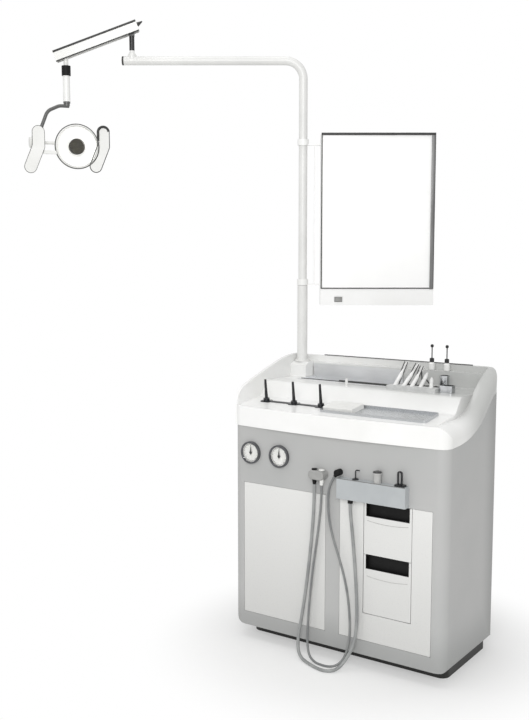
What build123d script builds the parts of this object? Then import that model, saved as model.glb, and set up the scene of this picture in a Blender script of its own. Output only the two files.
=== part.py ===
"""ENT treatment unit: a cabinet with suction and spray hoses, an examination lamp and a film viewer.

Millimetres. X runs to the right, the front faces -Y and Z is up. The origin is the centre of the
plinth's underside, on the floor.
"""
import math
import os

from build123d import *

os.makedirs("parts", exist_ok=True)

# Cabinet
cabinet_width = 820.0
cabinet_depth = 440.0
body_bottom = 50.0
body_wall = 6.0
front_corner_radius = 38.0
rear_corner_radius = 55.0
rear_right_radius = 70.0
bottom_corner_radius = 48.0
bottom_right_radius = 14.0
plinth_side_inset = 28.0
plinth_front_inset = 80.0
plinth_back_inset = 26.0
plinth_wall = 12.0
seat_gap = 0.3

# White panels in the front
panel_margin = 47.0
panel_width = 336.0
panel_bottom = 99.0
panel_top = 571.0
panel_thickness = 3.2
panel_gap = 1.2
panel_lip = 12.0

# Moulded worktop
nose_bottom = 770.0
nose_top = nose_bottom + 70.0
nose_bow = 22.0
rim_wall = 12.0
skirt_rise = 138.0
shoulder_radius = 42.0
shelf_front_height = nose_top - 6.0
shelf_back_height = shelf_front_height + 22.0
shelf_end = 150.0
step_end = 195.0
deck_height = nose_top + 68.0
ledge_height = deck_height + 54.0
rim_back_top = ledge_height + 23.0
ledge_start = 408.0
worktop_floor = 6.0
shoulder_drop = 24.0

# Drawers
drawer_left = 529.0
drawer_width = 172.0
drawer_gap = 2.0
drawer_split = 394.0
lower_drawer_bottom = 195.0
drawer_front_thickness = 20.0
drawer_box_depth = 340.0
drawer_box_wall = 1.5
drawer_travel = 250.0
runner_width = 9.7
runner_height = 30.0
runner_ledge = 12.0
carcass_wall = 1.2
carcass_side_room = 8.0
pull_width = 156.0
pull_height = 47.0
pull_depth = 17.0
pull_wall = 2.0

# Gauges
gauge_diameter = 78.0
gauge_drop = 91.0
gauge_height = nose_bottom - gauge_drop
gauge_centres = (79.0, 198.0)
gauge_projection = 12.0
gauge_bezel = 6.0
gauge_body_diameter = 64.0
gauge_body_depth = 34.0
gauge_recess = 8.0
lens_thickness = 1.6
pointer_length = 26.0
pointer_thickness = 1.0

# Hose holder and hoses
hood_centre = 363.0
hood_width = 60.0
hood_height = 31.0
hood_projection = 36.0
hood_level = 640.0
hood_hole_pitch = 28.0
handpiece_diameter = 14.0
handpiece_clearance = 0.3
handpiece_end = 606.0
suction_hose_diameter = 11.0
spray_hose_diameter = 8.0
gland_diameter = 22.0

# Front rack
rack_left = 440.0
rack_right = 690.0
rack_bottom = 573.0
rack_top = 641.0
rack_projection = 30.0
rack_pitch = 80.0
rack_first = 504.0
rack_hole_diameter = 18.0
rack_hole_depth = 45.0

# Worktop fittings
tray_left = 92.0
tray_right = 452.0
tray_front = 296.0
tray_back = 400.0
tray_depth = 16.0
sheet = 1.5
front_tray_left = 336.0
front_tray_right = 728.0
front_tray_front = 30.0
front_tray_back = 134.0
front_tray_height = 9.0
probe_places = (83.0, 199.0, 309.0)
probe_row = 88.0
probe_diameter = 12.0
probe_length = 78.0

# Lamp post
post_from_left = 40.0
post_from_front = 388.0
post_turn = 34.7
sleeve_diameter = 38.5
sleeve_top = 1250.0
flange_diameter = 54.0
flange_thickness = 8.0
tube_diameter = 32.0
tube_wall = 2.5
tube_clearance = 0.05
tube_bend_radius = 66.0
arm_height = 2076.0
arm_reach = 632.0

# Balanced lamp arm
spindle_diameter = 19.0
arm_pivot_height = arm_height + 116.0
arm_tilt = 20.0
arm_length = 260.0
cover_height = 38.0
cover_width = 33.0
cover_wall = 2.5
cover_back = 24.0
cover_front = 42.0
pivot_pin_diameter = 7.0
fork_width = 20.0

# Lamp head
lamp_turn = 22.0
drop_tube_diameter = 26.0
drop_collar_top = arm_height - 18.0
drop_collar_bottom = drop_collar_top - 36.0
drop_bottom = drop_collar_bottom - 100.0
head_height = drop_bottom - 157.0
head_offset = 31.0
head_diameter = 164.0
head_depth = 58.0
head_wall = 3.0
yoke_diameter = 13.0
yoke_reach = 123.0
handle_radius = 106.0
handle_diameter = 13.0
handle_forward = 31.0
shield_diameter = 56.0

# Film viewer
viewer_left = 66.0
viewer_width = 425.0
viewer_bottom = 1176.0
viewer_top = 1814.0
viewer_depth = 52.0
screen_bottom = 1242.0
screen_border = 7.0
viewer_wall = 2.5
bracket_levels = (1264.0, 1769.0)
collar_gap = 1.0
bracket_height = 22.0

left = -cabinet_width / 2
front = -cabinet_depth / 2
back = cabinet_depth / 2
post_x = left + post_from_left
post_y = front + post_from_front


def save(part, name):
    """Label a finished piece and write it to its STEP file."""
    part.label = name
    export_step(part, f"parts/{name}.step")


def plan_outline(inset=0.0, bow=0.0):
    """Cabinet seen from above: straight sides, rounded corners and a front that may bow out."""
    half = cabinet_width / 2 - inset
    near = front + inset
    far = back - inset
    with BuildSketch() as outline:
        with BuildLine():
            if bow > 0:
                ThreePointArc((-half, near), (0, near - bow), (half, near))
            else:
                Line((-half, near), (half, near))
            Polyline((half, near), (half, far), (-half, far), (-half, near))
        make_face()
        for corner_x, radius in ((-half, rear_corner_radius), (half, rear_right_radius)):
            fillet(outline.vertices().sort_by_distance((corner_x, far))[0], radius - inset)
        fronts = outline.vertices().filter_by(lambda v: abs(v.Y - near) < 0.01)
        fillet(fronts, front_corner_radius - inset)
    return outline.sketch


def side_plane(x):
    """Plane across the cabinet at x, with Y to the right and Z up."""
    return Plane(origin=(x, 0, 0), x_dir=(0, 1, 0), z_dir=(1, 0, 0))


def front_plane(y):
    """Plane facing the user at y, with X to the right and Z up."""
    return Plane(origin=(0, y, 0), x_dir=(1, 0, 0), z_dir=(0, -1, 0))


def below_skirt(drop=0.0, base=0.0):
    """Side view of all that lies below the worktop's lower edge, which rises towards the back."""
    start = front - 40
    with BuildSketch() as region:
        with BuildLine():
            Line((start, nose_bottom - drop), (front + 60, nose_bottom + 2 - drop))
            Spline(
                (front + 60, nose_bottom + 2 - drop),
                (front + 178, nose_bottom + 17 - drop),
                (front + 290, nose_bottom + 72 - drop),
                (front + 345, nose_bottom + 118 - drop),
                (back + 10, nose_bottom + skirt_rise - drop),
                tangents=((1, 0), (1, 0)),
            )
            Polyline(
                (back + 10, nose_bottom + skirt_rise - drop),
                (back + 10, base),
                (start, base),
                (start, nose_bottom - drop),
            )
        make_face()
    return region.sketch


def below_rim(base=0.0, drop=0.0):
    """Side view of all that lies below the rim of the worktop: low in front, high at the back."""
    start = front - 40
    top = nose_top - drop
    with BuildSketch() as region:
        with BuildLine():
            Line((start, top), (front + 120, top + 2))
            Spline(
                (front + 120, top + 2),
                (front + 235, top + 26),
                (front + 325, top + 96),
                (front + 395, top + 134),
                (back + 10, rim_back_top - drop),
                tangents=((1, 0.02), (1, 0)),
            )
            Polyline((back + 10, rim_back_top - drop), (back + 10, base), (start, base), (start, top))
        make_face()
    return region.sketch


def body_block(inset, top_drop):
    """The cabinet's body as one block: rounded in plan, rounded below and cut under the worktop."""
    bottom = body_bottom + inset
    with BuildPart() as block:
        with BuildSketch(Plane.XY.offset(bottom)):
            add(plan_outline(inset))
        extrude(amount=rim_back_top)
        with BuildSketch(front_plane(back)) as view:
            with Locations((0, bottom + rim_back_top / 2)):
                Rectangle(cabinet_width - 2 * inset, rim_back_top)
            low = view.vertices().group_by(Axis.Y)[0].sort_by(Axis.X)
            fillet(low[0], bottom_corner_radius - inset)
            low = view.vertices().group_by(Axis.Y)[0].sort_by(Axis.X)
            fillet(low[-1], bottom_right_radius - inset)
        extrude(amount=cabinet_depth, mode=Mode.INTERSECT)
        with BuildSketch(side_plane(left)):
            add(below_skirt(top_drop))
        extrude(amount=cabinet_width, mode=Mode.INTERSECT)
    return block.part


# Plinth: a closed black tray, set back all round under the body
with BuildPart() as plinth:
    plinth_width = cabinet_width - 2 * plinth_side_inset
    plinth_depth = cabinet_depth - plinth_front_inset - plinth_back_inset
    plinth_centre_y = (plinth_front_inset - plinth_back_inset) / 2
    with BuildSketch():
        with Locations((0, plinth_centre_y)):
            RectangleRounded(plinth_width, plinth_depth, rear_corner_radius - plinth_back_inset)
    extrude(amount=body_bottom)
    with BuildSketch(Plane.XY.offset(plinth_wall)):
        with Locations((0, plinth_centre_y)):
            Rectangle(plinth_width - 8 * plinth_wall, plinth_depth - 8 * plinth_wall)
    extrude(amount=body_bottom, mode=Mode.SUBTRACT)
save(plinth.part, "plinth")


# Body shell: one grey moulding with a rebated window for each white panel and one in the back
panel_lefts = (panel_margin, cabinet_width - panel_margin - panel_width)
panel_height = panel_top - panel_bottom
panel_level = (panel_top + panel_bottom) / 2
back_window_width = cabinet_width - 2 * (rear_right_radius + 20.0)
back_window_bottom = 110.0
back_window_height = 740.0
gauge_hole_diameter = gauge_body_diameter + 1.0
drawer_centre = left + drawer_left + drawer_width / 2
carcass_inner_width = drawer_width + 2 * carcass_side_room
carcass_width = carcass_inner_width + 2 * carcass_wall
body_inside = body_block(body_wall, -rim_wall)
with BuildPart() as body_shell:
    add(body_block(0.0, seat_gap))
    add(body_inside, mode=Mode.SUBTRACT)
    with BuildSketch(front_plane(front)):
        for panel_left in panel_lefts:
            with Locations((left + panel_left + panel_width / 2, panel_level)):
                Rectangle(panel_width, panel_height)
    extrude(amount=-panel_thickness, mode=Mode.SUBTRACT)
    with BuildSketch(front_plane(front)):
        for panel_left in panel_lefts:
            with Locations((left + panel_left + panel_width / 2, panel_level)):
                Rectangle(panel_width - 2 * panel_lip, panel_height - 2 * panel_lip)
        with Locations((drawer_centre, panel_level)):
            Rectangle(carcass_width + 2 * seat_gap, panel_height)
        for centre in gauge_centres:
            with Locations((left + centre, gauge_height)):
                Circle(gauge_hole_diameter / 2)
    extrude(amount=-2 * body_wall, mode=Mode.SUBTRACT)
    with BuildSketch(front_plane(back)):
        with Locations((0, back_window_bottom + back_window_height / 2)):
            RectangleRounded(back_window_width, back_window_height, front_corner_radius / 2)
    extrude(amount=2 * body_wall, mode=Mode.SUBTRACT)
save(body_shell.part, "body_shell")

# Service cover: the left white panel, a flat plate in its rebate over the pump bay
cover_plate_width = panel_width - 2 * panel_gap
cover_plate_height = panel_height - 2 * panel_gap
with BuildPart() as service_cover:
    with BuildSketch(front_plane(front)):
        with Locations((left + panel_lefts[0] + panel_width / 2, panel_level)):
            RectangleRounded(cover_plate_width, cover_plate_height, 2 * panel_gap)
    extrude(amount=-panel_thickness)
save(service_cover.part, "service_cover")

# Drawer fascia: the right white panel, with one opening for the two drawer fronts
opening_bottom = lower_drawer_bottom - drawer_gap
opening_width = drawer_width + 2 * drawer_gap
with BuildPart() as drawer_fascia:
    with BuildSketch(front_plane(front)):
        with Locations((left + panel_lefts[1] + panel_width / 2, panel_level)):
            RectangleRounded(cover_plate_width, cover_plate_height, 2 * panel_gap)
        with Locations((drawer_centre, opening_bottom + panel_height / 2)):
            Rectangle(opening_width, panel_height, mode=Mode.SUBTRACT)
    extrude(amount=-panel_thickness)
save(drawer_fascia.part, "drawer_fascia")

# Drawer carcass: a steel sleeve behind the fascia, open in front, that holds the runners
carcass_front = front + panel_thickness + seat_gap
carcass_depth = drawer_box_depth + 40.0
carcass_bottom = lower_drawer_bottom - 16.0
carcass_top = panel_top - seat_gap
with BuildPart() as drawer_carcass:
    with BuildSketch(front_plane(carcass_front)):
        with Locations((drawer_centre, (carcass_bottom + carcass_top) / 2)):
            Rectangle(carcass_width, carcass_top - carcass_bottom)
    extrude(amount=-carcass_depth)
    with BuildSketch(front_plane(carcass_front)):
        with Locations((drawer_centre, (carcass_bottom + carcass_top) / 2)):
            Rectangle(carcass_inner_width, carcass_top - carcass_bottom - 2 * carcass_wall)
    extrude(amount=carcass_wall - carcass_depth, mode=Mode.SUBTRACT)

# Drawers: a steel box behind a white front, which has a pocket for the black pull
drawer_levels = {
    "upper": (drawer_split + drawer_gap / 2, panel_top - drawer_gap),
    "lower": (lower_drawer_bottom, drawer_split - drawer_gap / 2),
}
box_width = carcass_inner_width - 2 * runner_width - 2 * seat_gap
box_front = front + drawer_front_thickness
box_lift = 14.0
box_headroom = 26.0
for level_name, (low, high) in drawer_levels.items():
    pull_top = high
    pull_base = high - pull_height
    with BuildPart() as drawer_front:
        with BuildSketch(front_plane(front)):
            with Locations((drawer_centre, (low + high) / 2)):
                Rectangle(drawer_width, high - low)
        extrude(amount=-drawer_front_thickness)
        with BuildSketch(front_plane(front)):
            with Locations((drawer_centre, (pull_base + pull_top) / 2)):
                Rectangle(pull_width, pull_height)
        extrude(amount=-pull_depth, mode=Mode.SUBTRACT)
        fillet(drawer_front.faces().sort_by(Axis.Y)[0].outer_wire().edges().filter_by(Axis.Z), 0.8)
    with BuildPart() as drawer_box:
        with BuildSketch(Plane.XY.offset(low + box_lift)):
            with Locations((drawer_centre, box_front + drawer_box_depth / 2)):
                Rectangle(box_width, drawer_box_depth)
        extrude(amount=high - low - box_lift - box_headroom)
        open_top = drawer_box.faces().sort_by(Axis.Z)[-1]
        offset(amount=-drawer_box_wall, openings=open_top)
    drawer = Compound(label=f"{level_name}_drawer", children=[drawer_front.part, drawer_box.part])
    save(drawer, f"{level_name}_drawer")
    with BuildPart() as drawer_pull:
        with BuildSketch(front_plane(front)):
            with Locations((drawer_centre, (pull_base + pull_top) / 2)):
                Rectangle(pull_width - seat_gap, pull_height - seat_gap)
        extrude(amount=seat_gap - pull_depth)
        open_front = drawer_pull.faces().sort_by(Axis.Y)[0]
        offset(amount=-pull_wall, openings=open_front)
    save(drawer_pull.part, f"{level_name}_pull")

# Drawer runners: two angle rails for each drawer, fixed to the sides of the carcass
runner_length = drawer_box_depth - 20.0
runner_front = box_front + 10.0
with BuildPart() as drawer_runners:
    for low, high in drawer_levels.values():
        floor_level = low + box_lift - seat_gap
        ledge_width = runner_width + runner_ledge
        for side in (-1, 1):
            wall_x = drawer_centre + side * carcass_inner_width / 2
            with BuildSketch(front_plane(runner_front)):
                runner_centre = floor_level + runner_height / 2 - carcass_wall
                with Locations((wall_x - side * runner_width / 2, runner_centre)):
                    Rectangle(runner_width, runner_height)
                with Locations((wall_x - side * ledge_width / 2, floor_level - carcass_wall / 2)):
                    Rectangle(ledge_width, carcass_wall)
            extrude(amount=-runner_length)
save(Compound(children=[drawer_carcass.part, drawer_runners.part]), "drawer_carcass")


# Inner frame: a base plate on the shell's floor and the upright partition between the two bays
base_plate_thickness = 4.0
partition_thickness = 3.0
partition_left = 408.0
partition_top = nose_bottom - 20.0
inner_floor = body_bottom + body_wall
inner_near = front + body_wall + seat_gap
inner_far = back - body_wall - seat_gap
with BuildPart() as inner_frame:
    with BuildSketch(Plane.XY.offset(inner_floor)):
        add(plan_outline(body_wall + seat_gap))
        Rectangle(cabinet_width - 2 * bottom_corner_radius, cabinet_depth, mode=Mode.INTERSECT)
    extrude(amount=base_plate_thickness)
    with BuildSketch(side_plane(left + partition_left)):
        with Locations(((inner_near + inner_far) / 2, (inner_floor + partition_top) / 2)):
            Rectangle(inner_far - inner_near, partition_top - inner_floor)
    extrude(amount=partition_thickness)
save(inner_frame.part, "inner_frame")

# Back panel: a steel plate over the rear window, with rows of cooling slots and six screw heads
back_panel_overlap = 18.0
back_panel_thickness = 2.0
vent_width = 90.0
vent_slot = 5.0
with BuildPart() as back_panel:
    with BuildSketch(front_plane(back + back_panel_thickness)):
        with Locations((0, back_window_bottom + back_window_height / 2)):
            RectangleRounded(
                back_window_width + 2 * back_panel_overlap,
                back_window_height + 2 * back_panel_overlap,
                front_corner_radius / 2,
            )
        with Locations((left / 2, 300), (left / 2, 620)):
            with GridLocations(vent_width + 20, 3 * vent_slot, 2, 7):
                SlotOverall(vent_width, vent_slot, mode=Mode.SUBTRACT)
        with Locations((-left / 2, 190)):
            Rectangle(48, 28, mode=Mode.SUBTRACT)
    extrude(amount=back_panel_thickness)
with BuildPart() as back_screws:
    with BuildSketch(front_plane(back + back_panel_thickness)):
        with Locations((0, back_window_bottom + back_window_height / 2)):
            with GridLocations(back_window_width + back_panel_overlap, back_window_height / 2, 2, 3):
                Circle(5)
    extrude(amount=-2.5)
save(Compound(children=[back_panel.part, back_screws.part]), "back_panel")

# Mains inlet: a moulded socket in the back panel, with its recess and two pins
inlet_x = -left / 2
inlet_level = 190.0
with BuildPart() as mains_inlet:
    with BuildSketch(front_plane(back + back_panel_thickness + 3)):
        with Locations((inlet_x, inlet_level)):
            RectangleRounded(60, 36, 4)
    extrude(amount=3)
    with BuildSketch(front_plane(back + back_panel_thickness)):
        with Locations((inlet_x, inlet_level)):
            Rectangle(47.4, 27.4)
    extrude(amount=30)
    with BuildSketch(front_plane(back + back_panel_thickness + 3)):
        with Locations((inlet_x, inlet_level)):
            RectangleRounded(34, 20, 3)
    extrude(amount=18, mode=Mode.SUBTRACT)
    with BuildSketch(front_plane(back + back_panel_thickness)):
        with Locations((inlet_x - 8, inlet_level), (inlet_x + 8, inlet_level), (inlet_x, inlet_level + 5)):
            Rectangle(2, 5)
    extrude(amount=15.5)
save(mains_inlet.part, "mains_inlet")

# Suction pump: a motor and a pump head on rubber feet, in the left bay
frame_top = inner_floor + base_plate_thickness
pump_x = left + 215.0
pump_y = 20.0
pump_radius = 62.0
pump_foot = 18.0
pump_level = frame_top + pump_foot + pump_radius
with BuildPart() as suction_pump:
    with BuildSketch(side_plane(pump_x - 150)):
        with Locations((pump_y, pump_level)):
            Circle(pump_radius)
    extrude(amount=170)
    with BuildSketch(side_plane(pump_x + 20)):
        with Locations((pump_y, pump_level)):
            Circle(pump_radius * 0.45)
    extrude(amount=18)
    with BuildSketch(side_plane(pump_x + 38)):
        with Locations((pump_y, pump_level + 10)):
            RectangleRounded(1.6 * pump_radius, 1.9 * pump_radius, 16)
    extrude(amount=62)
    with BuildSketch(Plane.XY.offset(frame_top)):
        with Locations((pump_x - 120, pump_y), (pump_x - 10, pump_y)):
            with GridLocations(0, 1.2 * pump_radius, 1, 2):
                Circle(11)
    extrude(amount=pump_foot + pump_radius / 3)

# Collection jar: a glass jar with its lid and two nipples, on a shelf bracket beside the partition
jar_x = left + 330.0
jar_y = 110.0
jar_radius = 52.0
jar_level = 330.0
jar_height = 170.0
bracket_thickness = 3.0
with BuildPart() as jar_bracket:
    with BuildSketch(Plane.XY.offset(jar_level - bracket_thickness - seat_gap)):
        with Locations(((jar_x - jar_radius + left + partition_left) / 2, jar_y)):
            Rectangle(partition_left + left - jar_x + jar_radius - 2 * seat_gap, 2 * jar_radius)
    extrude(amount=bracket_thickness)
with BuildPart() as jar:
    with BuildSketch(Plane.XY.offset(jar_level)):
        with Locations((jar_x, jar_y)):
            Circle(jar_radius)
    extrude(amount=jar_height)
    offset(amount=-3.0, openings=jar.faces().sort_by(Axis.Z)[-1])
with BuildPart() as jar_lid:
    with BuildSketch(Plane.XY.offset(jar_level + jar_height)):
        with Locations((jar_x, jar_y)):
            Circle(jar_radius + 3)
    extrude(amount=16)
    with BuildSketch(Plane.XY.offset(jar_level + jar_height + 16)):
        with Locations((jar_x - 18, jar_y), (jar_x + 18, jar_y)):
            Circle(5)
    extrude(amount=22)

# Air compressor: a small reservoir and a motor block for the spray line, above the pump
compressor_level = 250.0
with BuildPart() as air_compressor:
    with BuildSketch(side_plane(left + 70)):
        with Locations((pump_y + 60, compressor_level + 42)):
            Circle(42)
    extrude(amount=170)
    with BuildSketch(Plane.XY.offset(frame_top)):
        with Locations((left + 90, pump_y + 98), (left + 220, pump_y + 98)):
            Rectangle(14, 14)
    extrude(amount=compressor_level + 42 - frame_top)
    with BuildSketch(Plane.XY.offset(compressor_level + 76)):
        with Locations((left + 150, pump_y + 60)):
            RectangleRounded(110, 70, 8)
    extrude(amount=60)
pump_parts = [suction_pump.part, air_compressor.part, jar_bracket.part, jar.part, jar_lid.part]
save(Compound(children=pump_parts), "pump_set")

# Gauges: a turned case with its bezel, a glass lens and a pointer on its own axis
with BuildPart() as gauge_cases:
    with BuildSketch(front_plane(front)):
        for centre in gauge_centres:
            with Locations((left + centre, gauge_height)):
                Circle(gauge_diameter / 2)
    extrude(amount=gauge_projection)
    with BuildSketch(front_plane(front)):
        for centre in gauge_centres:
            with Locations((left + centre, gauge_height)):
                Circle(gauge_body_diameter / 2)
    extrude(amount=-gauge_body_depth)
    with BuildSketch(front_plane(front - gauge_projection)):
        for centre in gauge_centres:
            with Locations((left + centre, gauge_height)):
                Circle(gauge_diameter / 2 - gauge_bezel)
    extrude(amount=-gauge_recess, mode=Mode.SUBTRACT)
    chamfer(gauge_cases.faces().sort_by(Axis.Y)[0:2].edges().filter_by(GeomType.CIRCLE), 1.0)
save(gauge_cases.part, "gauge_cases")
lens_y = front - gauge_projection + 2.0
with BuildPart() as gauge_lenses:
    with BuildSketch(front_plane(lens_y)):
        for centre in gauge_centres:
            with Locations((left + centre, gauge_height)):
                Circle(gauge_diameter / 2 - gauge_bezel - 0.1)
    extrude(amount=-lens_thickness)
save(gauge_lenses.part, "gauge_lenses")
pointer_y = lens_y + lens_thickness + 1.4
dial_y = front - gauge_projection + gauge_recess
for centre, gauge_name in zip(gauge_centres, ("pressure", "suction")):
    with BuildPart() as pointer:
        with BuildSketch(front_plane(pointer_y)):
            with Locations((left + centre, gauge_height)):
                Circle(4)
            with BuildLine():
                Polyline(
                    (left + centre - 3.2, gauge_height),
                    (left + centre, gauge_height + pointer_length),
                    (left + centre + 3.2, gauge_height),
                    (left + centre, gauge_height - 9),
                    (left + centre - 3.2, gauge_height),
                )
            make_face()
        extrude(amount=-pointer_thickness)
        with BuildSketch(front_plane(dial_y - seat_gap)):
            with Locations((left + centre, gauge_height)):
                Circle(1.5)
        extrude(amount=dial_y - pointer_y - seat_gap)
    save(pointer.part, f"{gauge_name}_pointer")

# Hose hood: an oval grey bracket on the front, bored for the two hose handpieces
hood_x = left + hood_centre
hood_axis_y = front - hood_projection / 2
hood_holes = [(hood_x - hood_hole_pitch / 2, hood_axis_y), (hood_x + hood_hole_pitch / 2, hood_axis_y)]
hole_diameter = handpiece_diameter + 2 * handpiece_clearance
with BuildPart() as hose_hood:
    with BuildSketch(front_plane(front - seat_gap)):
        with Locations((hood_x, hood_level)):
            SlotOverall(hood_width, hood_height)
    extrude(amount=hood_projection)
    fillet(hose_hood.faces().sort_by(Axis.Y)[0].edges(), 5)
    with Locations(*[(x, y, hood_level + hood_height / 2) for x, y in hood_holes]):
        Hole(hole_diameter / 2, depth=hood_height)
save(hose_hood.part, "hose_hood")

# Hose handpieces: a slim barrel through the hood, hung by its collar, with a bent spout on top
hood_top = hood_level + hood_height / 2
for (hole_x, hole_y), piece_name in zip(hood_holes, ("suction", "spray")):
    with BuildPart() as handpiece:
        with BuildSketch(Plane(origin=(hole_x, hole_y, 0), x_dir=(1, 0, 0), z_dir=(0, -1, 0))):
            with BuildLine():
                Polyline(
                    (0, handpiece_end),
                    (5.5, handpiece_end),
                    (handpiece_diameter / 2, handpiece_end + 10),
                    (handpiece_diameter / 2, hood_top + seat_gap),
                    (handpiece_diameter / 2 + 3, hood_top + seat_gap),
                    (handpiece_diameter / 2 + 3, hood_top + 2.5),
                    (handpiece_diameter / 2 + 1, hood_top + 4),
                    (0, hood_top + 4.5),
                    (0, handpiece_end),
                )
            make_face()
        revolve(axis=Axis((hole_x, hole_y, 0), (0, 0, 1)))
    save(handpiece.part, f"{piece_name}_handpiece")

# Front rack: a box on the front with three bores for the tools
rack_centre = left + (rack_left + rack_right) / 2
rack_y = front - rack_projection / 2
rack_places = [left + rack_first + index * rack_pitch for index in range(3)]
with BuildPart() as front_rack:
    with BuildSketch(front_plane(front - seat_gap)):
        with Locations((rack_centre, (rack_bottom + rack_top) / 2)):
            Rectangle(rack_right - rack_left, rack_top - rack_bottom)
    extrude(amount=rack_projection)
    fillet(front_rack.faces().sort_by(Axis.Y)[0].edges(), 2)
    with Locations(*[(x, rack_y, rack_top) for x in rack_places]):
        Hole(rack_hole_diameter / 2, depth=rack_hole_depth)
save(front_rack.part, "front_rack")

# Tools in the rack: each has a spigot in its bore and a collar that rests on the rack
spigot_radius = rack_hole_diameter / 2 - seat_gap
spigot_length = rack_hole_depth - 4.0
collar_top = rack_top + seat_gap + 3.0
cannula_diameter = 4.0
cannula_top = 673.0
cannula_reach = 15.0
with BuildPart() as cannula:
    with BuildSketch(Plane.XY.offset(rack_top - spigot_length)):
        with Locations((rack_places[0], rack_y)):
            Circle(spigot_radius)
    extrude(amount=spigot_length + seat_gap)
    with BuildSketch(Plane.XY.offset(rack_top + seat_gap)):
        with Locations((rack_places[0], rack_y)):
            Circle(spigot_radius + 2)
    extrude(amount=3)
    with BuildLine():
        FilletPolyline(
            (rack_places[0], rack_y, rack_top),
            (rack_places[0], rack_y, cannula_top),
            (rack_places[0] + cannula_reach, rack_y, cannula_top),
            radius=6,
        )
    with BuildSketch(Plane.XY.offset(rack_top)):
        with Locations((rack_places[0], rack_y)):
            Circle(cannula_diameter / 2)
    sweep()
save(cannula.part, "cannula")
with BuildPart() as capped_handle:
    with BuildSketch(Plane.XY.offset(rack_top - spigot_length)):
        with Locations((rack_places[1], rack_y)):
            Circle(spigot_radius)
    extrude(amount=spigot_length + seat_gap)
    with BuildSketch(Plane.XY.offset(rack_top + seat_gap)):
        with Locations((rack_places[1], rack_y)):
            Circle(12.5)
    extrude(amount=28)
    with BuildSketch(Plane.XY.offset(rack_top + seat_gap + 28)):
        with Locations((rack_places[1], rack_y)):
            Circle(14.5)
    extrude(amount=10)
    fillet(capped_handle.faces().sort_by(Axis.Z)[-1].edges(), 4)
save(capped_handle.part, "capped_handle")
clip_thickness = 3.0
with BuildPart() as spring_clip:
    with BuildSketch(Plane.XY.offset(rack_top - spigot_length)):
        with Locations((rack_places[2], rack_y)):
            Circle(spigot_radius)
    extrude(amount=spigot_length + seat_gap)
    with BuildSketch(Plane.XY.offset(rack_top + seat_gap)):
        with Locations((rack_places[2] + 2, rack_y)):
            RectangleRounded(36, 22, 5)
    extrude(amount=5)
    with BuildSketch(front_plane(rack_y - clip_thickness)):
        with Locations((rack_places[2], rack_top + 26)):
            SlotOverall(46, 17, rotation=90)
            SlotOverall(37, 9, rotation=90, mode=Mode.SUBTRACT)
    extrude(amount=-2 * clip_thickness)
save(spring_clip.part, "spring_clip")

# Hose glands: a black elbow on the front for the spray hose, a collar under the rack for the suction hose
elbow_x = left + 438.0
elbow_level = 656.0
elbow_turn = 37.0
elbow_reach = 16.0
elbow_dx = -math.sin(math.radians(elbow_turn))
elbow_dz = -math.cos(math.radians(elbow_turn))
suction_gland_x = left + 487.0
suction_gland_drop = 12.0
hose_row = hood_axis_y
elbow_plane = Plane(
    origin=(elbow_x, hose_row, elbow_level), x_dir=(0, 1, 0), z_dir=(elbow_dx, 0, elbow_dz)
)
with BuildPart() as spray_gland:
    with BuildSketch(front_plane(front - seat_gap)):
        with Locations((elbow_x, elbow_level)):
            Circle(gland_diameter / 2)
    extrude(amount=front - hose_row + 9)
    fillet(spray_gland.faces().sort_by(Axis.Y)[0].edges(), 4)
    with BuildSketch(elbow_plane):
        Circle(spray_hose_diameter / 2 + 2)
    extrude(amount=elbow_reach)
with BuildPart() as suction_gland:
    with BuildSketch(Plane.XY.offset(rack_bottom)):
        with Locations((suction_gland_x, hose_row)):
            Circle(suction_hose_diameter / 2 + 3)
    extrude(amount=-suction_gland_drop)
save(Compound(children=[spray_gland.part, suction_gland.part]), "hose_glands")


def hose_route(points):
    """Points of a hose, given from the cabinet's front left corner, and a bend radius for each corner."""
    route = [Vector(left + x, front + y, z) for x, y, z in points]
    radii = []
    for before, corner, after in zip(route, route[1:], route[2:]):
        arriving = corner - before
        leaving = after - corner
        half_turn = math.radians(arriving.get_angle(leaving)) / 2
        radii.append(0.45 * min(arriving.length, leaving.length) / math.tan(half_turn))
    return route, radii


def hose(points, diameter, name):
    """A hose along a route of straight runs and tangent bends."""
    route, radii = hose_route(points)
    with BuildPart() as tube:
        with BuildLine():
            path = FilletPolyline(*route, radius=radii)
        with BuildSketch(Plane(origin=route[0], z_dir=route[1] - route[0])):
            Circle(diameter / 2)
        sweep()
    section = math.pi * diameter**2 / 4
    print(name, "length", round(path.length), "radii", [round(radius) for radius in radii])
    print(name, "volume against section times length", round(tube.part.volume / (section * path.length), 4))
    save(tube.part, name)


# Suction hose: down from its handpiece, round the outer loop on the floor and up to the rack's gland
suction_points = [
    (349, -18, handpiece_end),
    (349, -18, 545),
    (342, -18, 445),
    (331, -19, 335),
    (318, -20, 230),
    (304, -22, 138),
    (295, -30, 72),
    (301, -42, 30),
    (322, -56, 9),
    (360, -74, 6),
    (400, -90, 6),
    (436, -97, 6),
    (464, -83, 6.5),
    (476, -58, 14),
    (492, -38, 42),
    (508, -26, 84),
    (516, -20, 135),
    (517, -18, 195),
    (514, -18.5, 265),
    (508, -18, 340),
    (501, -18.5, 420),
    (493, -18, 490),
    (487, -18, 535),
    (487, -18, rack_bottom - suction_gland_drop),
]
hose(suction_points, suction_hose_diameter, "suction_hose")

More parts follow.
